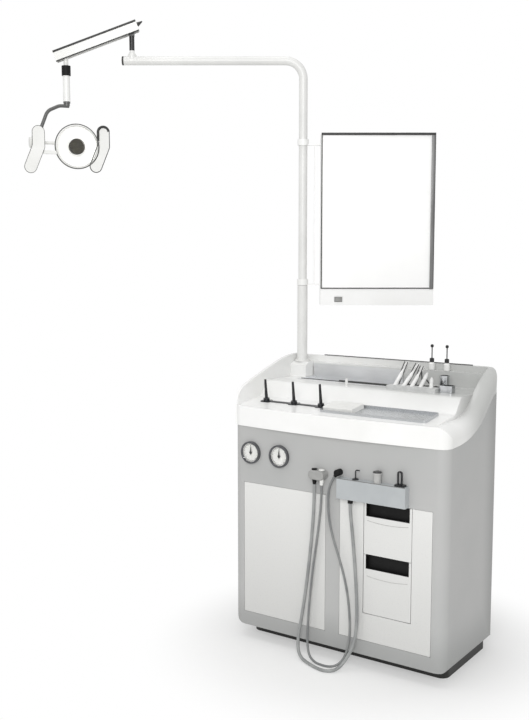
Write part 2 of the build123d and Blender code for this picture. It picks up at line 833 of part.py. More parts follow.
# Spray hose: down beside it, round the inner loop on the floor and up in an arch to the elbow gland
spray_points = [
    (377, -18, handpiece_end),
    (377, -18, 550),
    (369, -18.5, 475),
    (358, -18, 400),
    (346, -18.5, 320),
    (337, -19, 240),
    (331, -21, 165),
    (330, -26, 100),
    (334, -34, 52),
    (348, -44, 17),
    (376, -54, 5),
    (408, -61, 5),
    (438, -58, 5.5),
    (460, -45, 12),
    (476, -31, 34),
    (487, -23, 72),
    (491, -18, 125),
    (489, -18.5, 185),
    (481, -18, 250),
    (466, -18.5, 315),
    (446, -18, 372),
    (424, -18.5, 430),
    (408, -18, 488),
    (402, -18, 545),
    (elbow_x - left + elbow_dx * (elbow_reach + 38), -18, elbow_level + elbow_dz * (elbow_reach + 38)),
    (elbow_x - left + elbow_dx * elbow_reach, -18, elbow_level + elbow_dz * elbow_reach),
]
hose(spray_points, spray_hose_diameter, "spray_hose")


def floor_line(shift=0.0, drop=0.0):
    """Side view of all that lies above the worktop's floor: front shelf, step, deck and rear ledge."""
    start = front - 40
    with BuildSketch() as region:
        with BuildLine():
            FilletPolyline(
                (start, shelf_front_height - drop),
                (front + shelf_end + shift, shelf_back_height - drop),
                (front + step_end + shift, deck_height - drop),
                (front + ledge_start + shift, deck_height - drop),
                (front + ledge_start + shift, ledge_height - drop),
                (back + 10, ledge_height - drop),
                radius=[20, 18, 1, 1],
            )
            Polyline(
                (back + 10, ledge_height - drop),
                (back + 10, rim_back_top + 40),
                (start, rim_back_top + 40),
                (start, shelf_front_height - drop),
            )
        make_face()
    return region.sketch


# Worktop: a white moulding with a bowed nose, a rim that rises to the back and a raised left wing
wing_top = rim_back_top + 5.0
wing_front = nose_top + 32.0
shoulder_width = 46.0
deck_right = cabinet_width - shoulder_width
corner_block_width = 68.0
corner_block_depth = 78.0
peg_diameter = 10.0
peg_height = 27.0
worktop_inside = rim_wall - 2.0
tall = 2 * (rim_back_top - nose_bottom)
with BuildPart() as deck_block:
    with BuildSketch(Plane.XY.offset(nose_bottom)) as deck_plan:
        with Locations((left + rim_wall / 2, back - rim_wall / 2)):
            Rectangle(deck_right - rim_wall / 2, cabinet_depth - rim_wall, align=(Align.MIN, Align.MAX))
        fillet(deck_plan.vertices().group_by(Axis.X)[-1], front_corner_radius)
    extrude(amount=rim_back_top - nose_bottom)
    with BuildSketch(side_plane(left)):
        add(floor_line())
    extrude(amount=cabinet_width, mode=Mode.SUBTRACT)
with BuildPart() as skirt_cut:
    with BuildSketch(side_plane(left - 1)):
        add(below_skirt(0.0, nose_bottom - 40))
    extrude(amount=cabinet_width + 2)
    with BuildSketch(Plane.XY.offset(nose_bottom - 50)):
        add(plan_outline(body_wall + 0.5))
    extrude(amount=tall, mode=Mode.SUBTRACT)
with BuildPart() as shoulder:
    with BuildSketch(side_plane(left + deck_right)):
        add(below_rim(nose_bottom - 60))
    extrude(amount=cabinet_width - deck_right)
    shoulder_edges = shoulder.faces().sort_by(Axis.X)[-1].edges()
    shoulder_edges = shoulder_edges.filter_by(lambda e: e.center().Z > nose_top - 5 and e.length > 40)
    fillet(shoulder_edges.filter_by(lambda e: abs(e.tangent_at(0.5).Y) > 0.2), shoulder_radius)
with BuildPart() as shoulder_cut:
    with BuildSketch(side_plane(left + deck_right)):
        with Locations((0, nose_bottom + tall / 2 - 50)):
            Rectangle(cabinet_depth + 60, tall)
    extrude(amount=cabinet_width - deck_right + 5)
    add(shoulder.part, mode=Mode.SUBTRACT)
with BuildPart() as worktop:
    with BuildSketch(Plane.XY.offset(nose_bottom - 10)):
        add(plan_outline(0.0, nose_bow))
    extrude(amount=tall)
    with BuildSketch(side_plane(left)):
        add(below_rim(nose_bottom - 20))
    extrude(amount=cabinet_width, mode=Mode.INTERSECT)
    with BuildSketch(side_plane(left)):
        with BuildLine():
            Polyline((back, rim_back_top - 30), (front + 20, nose_top - 30), (front + 8, nose_top))
            Spline(
                (front + 8, nose_top),
                (front + 20, wing_front + 8),
                (front + 83, wing_front + 43),
                (front + 172, wing_front + 71),
                (front + 270, wing_front + 100),
                (front + 350, wing_top - 2),
                (back - 40, wing_top),
            )
            Polyline((back - 40, wing_top), (back, wing_top), (back, rim_back_top - 30))
        make_face()
    extrude(amount=rim_wall)
    with BuildSketch(Plane.XY.offset(nose_bottom - 10)):
        add(plan_outline(0.0, nose_bow))
    extrude(amount=tall, mode=Mode.INTERSECT)
    add(shoulder_cut.part, mode=Mode.SUBTRACT)
    add(deck_block.part)
    add(skirt_cut.part, mode=Mode.SUBTRACT)
with BuildPart() as basin:
    with BuildSketch(Plane.XY.offset(nose_bottom)):
        add(plan_outline(rim_wall, nose_bow))
    extrude(amount=tall)
    with BuildSketch(side_plane(left)):
        add(floor_line())
    extrude(amount=cabinet_width, mode=Mode.INTERSECT)
    with BuildSketch(Plane.XY.offset(nose_bottom)):
        with Locations((left + rim_wall, back - rim_wall)):
            Rectangle(corner_block_width, corner_block_depth, align=(Align.MIN, Align.MAX))
    extrude(amount=ledge_height - nose_bottom, mode=Mode.SUBTRACT)
    with BuildSketch(side_plane(left + deck_right)):
        add(below_rim(nose_bottom - 60, -60))
    extrude(amount=cabinet_width - deck_right, mode=Mode.SUBTRACT)
with BuildPart() as side_hollow:
    with BuildSketch(Plane.XY.offset(nose_bottom - 20)):
        add(plan_outline(worktop_inside))
    extrude(amount=tall)
    with BuildSketch(side_plane(left)):
        add(below_rim(nose_bottom - 40, shoulder_drop))
    extrude(amount=cabinet_width, mode=Mode.INTERSECT)
    with BuildSketch(side_plane(left)):
        add(floor_line(worktop_floor, worktop_floor))
    extrude(amount=cabinet_width, mode=Mode.SUBTRACT)
with BuildPart() as deck_hollow:
    with BuildSketch(Plane.XY.offset(nose_bottom - 20)):
        with Locations((left + rim_wall, back - rim_wall)):
            Rectangle(
                deck_right - rim_wall - worktop_floor,
                cabinet_depth - 2 * rim_wall,
                align=(Align.MIN, Align.MAX),
            )
    extrude(amount=tall)
    with BuildSketch(side_plane(left)):
        add(floor_line(worktop_floor, worktop_floor))
    extrude(amount=cabinet_width, mode=Mode.SUBTRACT)
with BuildPart() as worktop_moulding:
    add(worktop.part)
    add(basin.part, mode=Mode.SUBTRACT)
    add(side_hollow.part, mode=Mode.SUBTRACT)
    add(deck_hollow.part, mode=Mode.SUBTRACT)
    with BuildSketch(Plane.XY.offset(deck_height - 20)):
        with Locations((left + tray_left - seat_gap, front + tray_front - seat_gap)):
            Rectangle(
                tray_right - tray_left + 2 * seat_gap,
                tray_back - tray_front + 2 * seat_gap,
                align=(Align.MIN, Align.MIN),
            )
    extrude(amount=40, mode=Mode.SUBTRACT)
    with BuildSketch(Plane.XY.offset(deck_height - 3)):
        with Locations((left + 335, front + 215)):
            Circle(peg_diameter / 2)
    extrude(amount=peg_height + 3)
save(worktop_moulding.part, "worktop")

# Instrument tray: a steel pan let into the deck, with a flange and a splashback against the ledge
tray_flange = 8.0
splash_top = ledge_height - 7.0
splash_y = front + ledge_start - 5.3
with BuildPart() as instrument_tray:
    with BuildSketch(Plane.XY.offset(deck_height)):
        with Locations((left + tray_left - tray_flange, front + tray_front - tray_flange)):
            Rectangle(
                tray_right - tray_left + 2 * tray_flange,
                splash_y - front - tray_front + tray_flange,
                align=(Align.MIN, Align.MIN),
            )
    extrude(amount=sheet)
    with BuildSketch(Plane.XY.offset(deck_height)):
        with Locations((left + tray_left - tray_flange, splash_y - sheet)):
            Rectangle(tray_right - tray_left + 2 * tray_flange, sheet, align=(Align.MIN, Align.MIN))
    extrude(amount=splash_top - deck_height)
    with BuildSketch(Plane.XY.offset(deck_height - tray_depth)):
        with Locations((left + tray_left, front + tray_front)):
            Rectangle(tray_right - tray_left, tray_back - tray_front, align=(Align.MIN, Align.MIN))
    extrude(amount=tray_depth)
    with BuildSketch(Plane.XY.offset(deck_height - tray_depth + sheet)):
        with Locations((left + tray_left + sheet, front + tray_front + sheet)):
            Rectangle(
                tray_right - tray_left - 2 * sheet,
                tray_back - tray_front - 2 * sheet,
                align=(Align.MIN, Align.MIN),
            )
    extrude(amount=tray_depth + sheet, mode=Mode.SUBTRACT)
save(instrument_tray.part, "instrument_tray")

# The front shelf slopes up a little: its fittings are built on a plane laid on it
shelf_slope = math.atan2(shelf_back_height - shelf_front_height, shelf_end + 40)
shelf_plane = Plane(
    origin=(left, front, shelf_front_height + 40 * math.tan(shelf_slope)),
    x_dir=(1, 0, 0),
    z_dir=(0, -math.sin(shelf_slope), math.cos(shelf_slope)),
)

# Front tray: a shallow steel tray on the shelf
front_tray_width = front_tray_right - front_tray_left
front_tray_length = front_tray_back - front_tray_front
with BuildPart() as front_tray:
    with BuildSketch(shelf_plane):
        with Locations((front_tray_left + front_tray_width / 2, front_tray_front + front_tray_length / 2)):
            RectangleRounded(front_tray_width, front_tray_length, 10)
    extrude(amount=front_tray_height)
    with BuildSketch(shelf_plane.offset(sheet)):
        with Locations((front_tray_left + front_tray_width / 2, front_tray_front + front_tray_length / 2)):
            RectangleRounded(front_tray_width - 2 * sheet, front_tray_length - 2 * sheet, 10 - sheet)
    extrude(amount=front_tray_height, mode=Mode.SUBTRACT)

# Swab box: a closed grey box with a lid line, in the left end of the front tray
swab_width = 114.0
swab_length = 84.0
with BuildPart() as swab_box:
    with BuildSketch(shelf_plane.offset(sheet)):
        with Locations((front_tray_left + 8 + swab_width / 2, front_tray_front + front_tray_length / 2)):
            RectangleRounded(swab_width, swab_length, 5)
    extrude(amount=16)
    fillet(swab_box.faces().sort_by(Axis.Z)[-1].edges(), 2)
save(swab_box.part, "swab_box")

# Probe rail: a steel strip on the shelf with a round cup for each probe
cup_height = 12.0
cup_radius = 11.0
probe_clearance = 0.3
with BuildPart() as probe_rail:
    with BuildSketch(shelf_plane):
        with Locations(((probe_places[0] + probe_places[-1]) / 2, probe_row)):
            RectangleRounded(probe_places[-1] - probe_places[0] + 40, 12, 4)
    extrude(amount=3)
    with BuildSketch(shelf_plane):
        for place in probe_places:
            with Locations((place, probe_row)):
                RectangleRounded(40, 30, 8)
    extrude(amount=3)
    with BuildSketch(shelf_plane):
        for place in probe_places:
            with Locations((place, probe_row)):
                Circle(cup_radius)
    extrude(amount=cup_height)
    with BuildSketch(shelf_plane.offset(2)):
        for place in probe_places:
            with Locations((place, probe_row)):
                Circle(probe_diameter / 2 + probe_clearance)
    extrude(amount=cup_height, mode=Mode.SUBTRACT)
save(Compound(children=[front_tray.part, probe_rail.part]), "shelf_fittings")

# Probes: three dark rods that stand in the cups, each with a blunt tip
for place, side_name in zip(probe_places, ("left", "middle", "right")):
    with BuildPart() as probe:
        with BuildSketch(shelf_plane.offset(2 + seat_gap)):
            with Locations((place, probe_row)):
                Circle(probe_diameter / 2)
        extrude(amount=probe_length, taper=1.5)
        fillet(probe.faces().sort_by(Axis.Z)[-1].edges(), 1.5)
    save(probe.part, f"{side_name}_probe")

# Rinse handpieces: five slim white barrels that lean back out of a cradle on the deck
rinse_start_y = front + 250.0
rinse_start_z = deck_height + 0.3 + handpiece_diameter / 2
rinse_end_y = front + 330.0
rinse_places = [(503, 515, 994), (535, 557, 990), (566, 573, 980), (599, 589, 960), (641, 606, 944)]
cradle_near = front + 232.0
cradle_length = 40.0
cradle_height = 14.0
rinse_lines = []
for start_x, end_x, end_z in rinse_places:
    start = Vector(left + start_x, rinse_start_y, rinse_start_z)
    end = Vector(left + end_x, rinse_end_y, end_z)
    rinse_lines.append((start, (end - start).normalized(), (end - start).length))
with BuildPart() as handpiece_cradle:
    with BuildSketch(Plane.XY.offset(deck_height)):
        with Locations((left + 572, cradle_near + cradle_length / 2)):
            RectangleRounded(184, cradle_length, 6)
    extrude(amount=cradle_height)
    for start, line, length in rinse_lines:
        with BuildSketch(Plane(origin=start - line * 8, z_dir=line)):
            Circle(handpiece_diameter / 2 + handpiece_clearance)
        extrude(amount=length, mode=Mode.SUBTRACT)
save(handpiece_cradle.part, "handpiece_cradle")
nozzle_length = 16.0
for index, (start, line, length) in enumerate(rinse_lines):
    with BuildPart() as rinse_handpiece:
        with BuildSketch(Plane(origin=start, z_dir=line)):
            Circle(handpiece_diameter / 2)
        extrude(amount=length - nozzle_length)
        with BuildSketch(Plane(origin=start + line * (length - nozzle_length), z_dir=line)):
            Circle(handpiece_diameter / 2)
        extrude(amount=nozzle_length, taper=12)
    save(rinse_handpiece.part, f"rinse_handpiece_{index + 1}")

# Atomisers: two glass bottles on the rear ledge, each with a black collar, a stem and a ball
atomiser_places = {"left": 565.0, "right": 622.0}
atomiser_y = front + 416.3
bottle_radius = 11.0
for side_name, place in atomiser_places.items():
    with BuildPart() as atomiser:
        with BuildSketch(Plane(origin=(left + place, atomiser_y, 0), x_dir=(1, 0, 0), z_dir=(0, -1, 0))):
            with BuildLine():
                Polyline(
                    (0, ledge_height + seat_gap),
                    (bottle_radius - 1, ledge_height + seat_gap),
                    (bottle_radius, ledge_height + 2),
                    (bottle_radius, ledge_height + 22),
                    (7, ledge_height + 27),
                    (7, ledge_height + 28),
                    (8, ledge_height + 28),
                    (8, ledge_height + 41),
                    (2, ledge_height + 43),
                    (2, ledge_height + 79),
                    (5, ledge_height + 81),
                    (6, ledge_height + 86),
                    (4, ledge_height + 90),
                    (0, ledge_height + 91),
                    (0, ledge_height + seat_gap),
                )
            make_face()
        revolve(axis=Axis((left + place, atomiser_y, 0), (0, 0, 1)))
    save(atomiser.part, f"{side_name}_atomiser")

# Mirror warmer: a round chrome cup on the deck, open at the top
warmer_place = (left + 644.0, front + 352.0)
with BuildPart() as mirror_warmer:
    with BuildSketch(Plane.XY.offset(deck_height)):
        with Locations(warmer_place):
            Circle(21)
    extrude(amount=4)
    with BuildSketch(Plane.XY.offset(deck_height)):
        with Locations(warmer_place):
            Circle(17)
    extrude(amount=46)
    with BuildSketch(Plane.XY.offset(deck_height + 16)):
        with Locations(warmer_place):
            Circle(14)
    extrude(amount=46, mode=Mode.SUBTRACT)

# Cotton cup: a small open steel box on the deck
with BuildPart() as cotton_cup:
    with BuildSketch(Plane.XY.offset(deck_height)):
        with Locations((left + 690, front + 272)):
            RectangleRounded(45, 32, 4)
    extrude(amount=24)
    offset(amount=-sheet, openings=cotton_cup.faces().sort_by(Axis.Z)[-1])
save(Compound(children=[mirror_warmer.part, cotton_cup.part]), "deck_cups")


def turned(angle):
    """Two level directions for a turn about Z: along the turned X axis, and out of its front."""
    turn = math.radians(angle)
    return Vector(math.cos(turn), math.sin(turn), 0), Vector(math.sin(turn), -math.cos(turn), 0)


# Post frame: the arm and the viewer lie in one upright plane through the post's axis
post_foot = Vector(post_x, post_y, 0)
along, toward = turned(post_turn)
post_upright = Plane(origin=post_foot, x_dir=along, z_dir=toward)


def post_level(z, reach=0.0):
    """Level plane at z whose origin is on the post's axis, or out along the arm's plane."""
    return Plane(origin=post_foot + along * reach + Vector(0, 0, z), x_dir=along, z_dir=(0, 0, 1))


# Post sleeve: a flange on the worktop's corner with the fixed outer tube
flange_base = ledge_height
tube_foot = flange_base + flange_thickness + 2.0
fit_radius = tube_diameter / 2 + tube_clearance
with BuildPart() as post_sleeve:
    with BuildSketch(post_level(flange_base)):
        Circle(flange_diameter / 2)
    extrude(amount=flange_thickness)
    with BuildSketch(post_level(flange_base)):
        Circle(sleeve_diameter / 2)
    extrude(amount=sleeve_top - flange_base)
    with BuildSketch(post_level(tube_foot)):
        Circle(fit_radius)
    extrude(amount=sleeve_top, mode=Mode.SUBTRACT)
save(post_sleeve.part, "post_sleeve")

# Lamp tube: it turns in the sleeve, bends over at the top and ends in a boss for the spindle
arm_end = -arm_reach - 30.0
boss_diameter = 32.0
boss_top = arm_height + tube_diameter / 2 + 3
spindle_fit = spindle_diameter / 2 + tube_clearance
spindle_foot = arm_height - 10.0
with BuildPart() as tube_bore:
    with BuildLine(post_upright):
        FilletPolyline(
            (0, tube_foot), (0, arm_height), (-arm_reach + 40, arm_height), radius=tube_bend_radius
        )
    with BuildSketch(post_level(tube_foot)):
        Circle(tube_diameter / 2 - tube_wall)
    sweep()
with BuildPart() as lamp_tube:
    with BuildLine(post_upright):
        FilletPolyline(
            (0, tube_foot + seat_gap), (0, arm_height), (arm_end, arm_height), radius=tube_bend_radius
        )
    with BuildSketch(post_level(tube_foot + seat_gap)):
        Circle(tube_diameter / 2)
    sweep()
    add(tube_bore.part, mode=Mode.SUBTRACT)
    with BuildSketch(post_level(arm_height, -arm_reach)):
        Circle(boss_diameter / 2)
    extrude(amount=boss_top - arm_height)
    with BuildSketch(post_level(spindle_foot - seat_gap, -arm_reach)):
        Circle(spindle_fit)
    extrude(amount=4 * tube_diameter, mode=Mode.SUBTRACT)
save(lamp_tube.part, "lamp_tube")

# Arm spindle: it stands in the boss on a shoulder and ends in an eye for the balanced arm
eye_radius = 14.0
pin_fit = pivot_pin_diameter / 2 + tube_clearance
with BuildPart() as arm_spindle:
    with BuildSketch(post_level(spindle_foot, -arm_reach)):
        Circle(spindle_diameter / 2)
    extrude(amount=arm_pivot_height - eye_radius - spindle_foot)
    with BuildSketch(post_level(boss_top + seat_gap, -arm_reach)):
        Circle(boss_diameter / 2 - 2)
    extrude(amount=5)
    with BuildSketch(post_upright):
        with Locations((-arm_reach, arm_pivot_height)):
            Circle(eye_radius)
        with Locations((-arm_reach, arm_pivot_height - eye_radius)):
            Rectangle(spindle_diameter, 2 * eye_radius)
        with Locations((-arm_reach, arm_pivot_height)):
            Circle(pin_fit, mode=Mode.SUBTRACT)
    extrude(amount=fork_width / 2, both=True)
save(arm_spindle.part, "arm_spindle")

# Balanced arm: a channel, open below, with a cross pin at each end
tilt = math.radians(arm_tilt)
arm_line = -along * math.cos(tilt) - Vector(0, 0, math.sin(tilt))
arm_pivot = post_foot - along * arm_reach + Vector(0, 0, arm_pivot_height)
arm_plane = Plane(origin=arm_pivot, x_dir=arm_line, z_dir=-toward)
with BuildPart() as arm_cover:
    with BuildSketch(arm_plane):
        with Locations(((arm_length + cover_front - cover_back) / 2, 0)):
            Rectangle(arm_length + cover_front + cover_back, cover_height)
    extrude(amount=cover_width / 2, both=True)
    fillet(arm_cover.edges().filter_by(Axis(arm_pivot, toward)).sort_by(Axis.Z)[2:], 6)
    with BuildSketch(arm_plane):
        with Locations(((arm_length + cover_front - cover_back) / 2, -cover_wall)):
            Rectangle(arm_length + cover_front + cover_back - 2 * cover_wall, cover_height)
    extrude(amount=cover_width / 2 - cover_wall, both=True, mode=Mode.SUBTRACT)
    with BuildSketch(arm_plane):
        with Locations((0, 0), (arm_length, 0)):
            Circle(pivot_pin_diameter / 2)
    extrude(amount=cover_width / 2, both=True)
save(arm_cover.part, "arm_cover")

# Drop link: it hangs level from the far pin and carries the black collar
far_pivot = arm_pivot + arm_line * arm_length
drop_reach = arm_reach + arm_length * math.cos(tilt)
neck_diameter = 17.0
neck_end = drop_collar_bottom + 26.0
with BuildPart() as drop_link:
    with BuildSketch(post_upright):
        with Locations((-drop_reach, far_pivot.Z)):
            Circle(eye_radius - 1)
        with Locations((-drop_reach, far_pivot.Z - eye_radius / 2)):
            Rectangle(neck_diameter, eye_radius)
        with Locations((-drop_reach, far_pivot.Z)):
            Circle(pin_fit, mode=Mode.SUBTRACT)
    extrude(amount=fork_width / 2, both=True)
    with BuildSketch(post_level(neck_end, -drop_reach)):
        Circle(neck_diameter / 2)
    extrude(amount=far_pivot.Z - eye_radius + 2 - neck_end)
save(drop_link.part, "drop_link")
drop_fit = drop_tube_diameter / 2 + tube_clearance
drop_top = neck_end - 1.0
with BuildPart() as drop_collar:
    with BuildSketch(post_level(drop_collar_bottom, -drop_reach)):
        Circle(drop_tube_diameter / 2 + 3.5)
    extrude(amount=drop_collar_top - drop_collar_bottom)
    fillet(drop_collar.edges().filter_by(GeomType.CIRCLE), 1.2)
    with BuildSketch(post_level(drop_collar_bottom, -drop_reach)):
        Circle(drop_fit)
    extrude(amount=drop_top - drop_collar_bottom + seat_gap, mode=Mode.SUBTRACT)
    with BuildSketch(post_level(drop_collar_bottom, -drop_reach)):
        Circle(neck_diameter / 2 + seat_gap)
    extrude(amount=4 * neck_diameter, mode=Mode.SUBTRACT)
save(drop_collar.part, "drop_collar")

# Lamp frame: below the drop the lamp is turned further round
drop_foot = post_foot - along * drop_reach
across, forward = turned(post_turn + lamp_turn)
lamp_upright = Plane(origin=drop_foot, x_dir=across, z_dir=forward)


def lamp_level(z):
    """Level plane at z on the drop tube's axis, turned with the lamp."""
    return Plane(origin=drop_foot + Vector(0, 0, z), x_dir=across, z_dir=(0, 0, 1))


# Drop tube: it turns in the collar
with BuildPart() as drop_tube:
    with BuildSketch(lamp_level(drop_bottom)):
        Circle(drop_tube_diameter / 2)
    extrude(amount=drop_top - drop_bottom)

# Yoke: a rod that curves down on one side of the lamp to a boss on the tilt axis
tilt_height = head_height + 11.0
yoke_eye = yoke_reach - 15.0
eye_fit = 6.0 + tube_clearance
boss_start = drop_foot + Vector(0, 0, tilt_height) - across * (yoke_eye - 7)
tilt_plane = Plane(origin=boss_start, x_dir=forward, z_dir=-across)
with BuildPart() as yoke:
    with BuildLine(lamp_upright):
        FilletPolyline(
            (8, drop_bottom - yoke_diameter / 2 - 3),
            (-28, drop_bottom - yoke_diameter / 2 - 3),
            (-72, drop_bottom - 30),
            (-94, drop_bottom - 86),
            (-yoke_eye, tilt_height),
            radius=[40, 40, 60],
        )
    yoke_start = drop_foot + across * 8 + Vector(0, 0, drop_bottom - yoke_diameter / 2 - 3)
    with BuildSketch(Plane(origin=yoke_start, z_dir=-across)):
        Circle(yoke_diameter / 2)
    sweep()
    with BuildSketch(lamp_level(drop_bottom)):
        Circle(drop_tube_diameter / 2 - 2)
    extrude(amount=-yoke_diameter / 2 - 3)
    with BuildSketch(tilt_plane):
        Circle(13)
    extrude(amount=14)
    with BuildSketch(tilt_plane.offset(7)):
        Circle(eye_fit)
    extrude(amount=14, both=True, mode=Mode.SUBTRACT)
save(Compound(children=[drop_tube.part, yoke.part]), "lamp_yoke")

# Lamp housing: a turned bowl with a stub on its left for the tilt axis
head_centre = drop_foot + across * head_offset + Vector(0, 0, head_height)
head_plane = Plane(origin=head_centre, x_dir=forward, z_dir=-across)
head_axis = Axis(head_centre, forward)
rear = -35.0
rim_front = rear + head_depth + 2
head_radius = head_diameter / 2
stub_end = yoke_eye + 20.0
with BuildPart() as lamp_housing:
    with BuildSketch(head_plane):
        with BuildLine():
            Line((rear, 0), (rear, 22))
            ThreePointArc((rear, 22), (rear + 14, 62), (8, head_radius))
            Polyline((8, head_radius), (rim_front - 6, head_radius), (rim_front, head_radius - 5))
            Polyline(
                (rim_front, head_radius - 5),
                (rim_front, head_radius - 8),
                (rim_front - 4, head_radius - head_wall),
                (8, head_radius - head_wall),
            )
            ThreePointArc((8, head_radius - head_wall), (rear + 16, 60), (rear + head_wall, 22))
            Polyline((rear + head_wall, 22), (rear + head_wall, 0), (rear, 0))
        make_face()
    revolve(axis=head_axis)
    stub_start = drop_foot + Vector(0, 0, tilt_height) + across * (head_offset - head_radius + 3)
    with BuildSketch(Plane(origin=stub_start, x_dir=forward, z_dir=-across)):
        Circle(6)
    extrude(amount=stub_end + head_offset - head_radius + 3)

# Tilt knob: on the end of the stub, beyond the yoke's boss
knob_start = yoke_eye + 9.0
with BuildPart() as tilt_knob:
    with BuildSketch(tilt_plane.offset(knob_start - yoke_eye + 7)):
        Circle(20)
    extrude(amount=24)
    fillet(tilt_knob.faces().sort_by(Axis(drop_foot, -across))[-1].edges(), 3)
    with BuildSketch(tilt_plane.offset(knob_start - yoke_eye + 7)):
        Circle(6.0 + seat_gap)
    extrude(amount=stub_end - knob_start + seat_gap, mode=Mode.SUBTRACT)
save(tilt_knob.part, "tilt_knob")

# Reflector, lamp shield and front glass, all turned about the lamp's axis
dish_rim = head_radius - head_wall - seat_gap
with BuildPart() as reflector:
    with BuildSketch(head_plane):
        with BuildLine():
            Polyline((rear + 9, 12), (rear + 10.5, 12))
            Spline((rear + 10.5, 12), (-10, 52), (10, 73), tangents=((0.2, 1), (1, 0.6)))
            Polyline((10, 73), (12, 73), (12, dish_rim))
            Polyline((12, dish_rim), (10, dish_rim), (10, 75))
            Spline((10, 75), (-11.5, 53.5), (rear + 9, 12), tangents=((-1, -0.6), (-0.2, -1)))
        make_face()
    revolve(axis=head_axis)
save(reflector.part, "reflector")
with BuildPart() as bulb_shield:
    with BuildSketch(head_plane):
        with BuildLine():
            Polyline(
                (rear + head_wall + seat_gap, 0),
                (rear + head_wall + seat_gap, 8),
                (-2, 8),
                (-2, shield_diameter / 2),
                (12, shield_diameter / 2),
                (12, 0),
                (rear + head_wall + seat_gap, 0),
            )
        make_face()
    revolve(axis=head_axis)
save(bulb_shield.part, "bulb_shield")
with BuildPart() as head_lens:
    with BuildSketch(head_plane):
        with BuildLine():
            Polyline(
                (14.5, 0),
                (14.5, head_radius - head_wall - seat_gap),
                (17.5, head_radius - head_wall - seat_gap),
                (17.5, 0),
                (14.5, 0),
            )
        make_face()
    revolve(axis=head_axis)
save(head_lens.part, "head_lens")

# Lamp handles: two bent paddles in front of the housing, each on a bracket from its side
paddle_width = 44.0
paddle_thickness = 10.0
paddle_shift = -240.0
bracket_level = head_height - 25.0
with BuildPart() as lamp_handles:
    for shift, drop in ((0.0, 0.0), (paddle_shift, -8.0)):
        top_x = head_offset + 96 + shift
        top_z = head_height + 54 + drop
        knee_z = head_height + 2 + drop
        foot_x = top_x - 30
        foot_z = head_height - 72 + drop
        lean = math.degrees(math.atan2(knee_z - foot_z, top_x - foot_x))
        with BuildSketch(lamp_upright.offset(handle_forward - paddle_thickness / 2)):
            with Locations((top_x, (top_z + knee_z) / 2)):
                SlotCenterToCenter(top_z - knee_z, paddle_width, rotation=90)
            with Locations(((top_x + foot_x) / 2, (knee_z + foot_z) / 2)):
                SlotCenterToCenter(math.hypot(top_x - foot_x, knee_z - foot_z), paddle_width, rotation=lean)
        extrude(amount=paddle_thickness)
    with BuildSketch(lamp_upright.offset(8)):
        with Locations((head_offset + 82, bracket_level)):
            Rectangle(24, 12)
        with Locations((head_offset - 105, bracket_level)):
            Rectangle(70, 12)
    extrude(amount=handle_forward - 8)
    with BuildSketch(head_plane):
        with Locations((0, (head_radius + seat_gap) / 2)):
            Rectangle(80, head_radius + seat_gap)
    revolve(axis=head_axis, mode=Mode.SUBTRACT)
save(Compound(children=[lamp_housing.part, lamp_handles.part]), "lamp_housing")

# Viewer bracket: two collars round the lamp tube, an arm from each and a strap between the arms
collar_radius = tube_diameter / 2 + 5.0
arm_thickness = 4.0
strap_place = 44.0
case_near = viewer_left - seat_gap
levels = (sleeve_top + collar_gap, bracket_levels[1])
with BuildPart() as viewer_bracket:
    for level in levels:
        with BuildSketch(post_level(level)):
            Circle(collar_radius)
            with Locations((case_near / 2, 0)):
                Rectangle(case_near, 18)
        extrude(amount=arm_thickness)
        with BuildSketch(post_level(level)):
            Circle(collar_radius)
        extrude(amount=bracket_height)
    with BuildSketch(post_level(levels[0])):
        with Locations((strap_place, 0)):
            Rectangle(3, 18)
    extrude(amount=levels[1] - levels[0] + arm_thickness)
    with BuildSketch(post_level(levels[0])):
        Circle(fit_radius)
    extrude(amount=levels[1], mode=Mode.SUBTRACT)
save(viewer_bracket.part, "viewer_bracket")

# Viewer case: a flat box with the screen's window in front and a control casing below it
viewer_x = viewer_left + viewer_width / 2
viewer_z = (viewer_bottom + viewer_top) / 2
viewer_height = viewer_top - viewer_bottom
window_top = viewer_top - screen_border
window_height = window_top - screen_bottom
window_width = viewer_width - 2 * screen_border
switch_x = viewer_left + 68.0
switch_z = 1198.0
with BuildPart() as viewer_case:
    with BuildSketch(post_upright):
        with Locations((viewer_x, viewer_z)):
            RectangleRounded(viewer_width, viewer_height, 3)
    extrude(amount=viewer_depth / 2, both=True)
    with BuildSketch(post_upright):
        with Locations((viewer_x, viewer_z)):
            Rectangle(viewer_width - 2 * viewer_wall, viewer_height - 2 * viewer_wall)
    extrude(amount=viewer_depth / 2 - viewer_wall, both=True, mode=Mode.SUBTRACT)
    with BuildSketch(post_upright):
        with Locations((viewer_x, screen_bottom + window_height / 2)):
            Rectangle(window_width, window_height)
        with Locations((switch_x, switch_z)):
            Rectangle(30, 20)
    extrude(amount=viewer_depth, mode=Mode.SUBTRACT)
save(viewer_case.part, "viewer_case")

# Viewer screen: an opal sheet behind the window
with BuildPart() as viewer_screen:
    with BuildSketch(post_upright.offset(viewer_depth / 2 - viewer_wall - seat_gap)):
        with Locations((viewer_x, screen_bottom + window_height / 2)):
            Rectangle(window_width + 8, window_height + 8)
    extrude(amount=-3)
save(viewer_screen.part, "viewer_screen")

# Viewer frame: a thin dark edging round the screen, with a film clip along the top
edging = 4.0
frame_top_z = viewer_top - 1.0
with BuildPart() as viewer_frame:
    with BuildSketch(post_upright.offset(viewer_depth / 2)):
        with Locations((viewer_x, (screen_bottom - edging + frame_top_z) / 2)):
            Rectangle(viewer_width - 2, frame_top_z - screen_bottom + edging)
        with Locations((viewer_x, (screen_bottom + frame_top_z - 2 * edging) / 2)):
            Rectangle(
                viewer_width - 2 - 2 * edging,
                frame_top_z - screen_bottom - 2 * edging,
                mode=Mode.SUBTRACT,
            )
    extrude(amount=2.5)
save(viewer_frame.part, "viewer_frame")

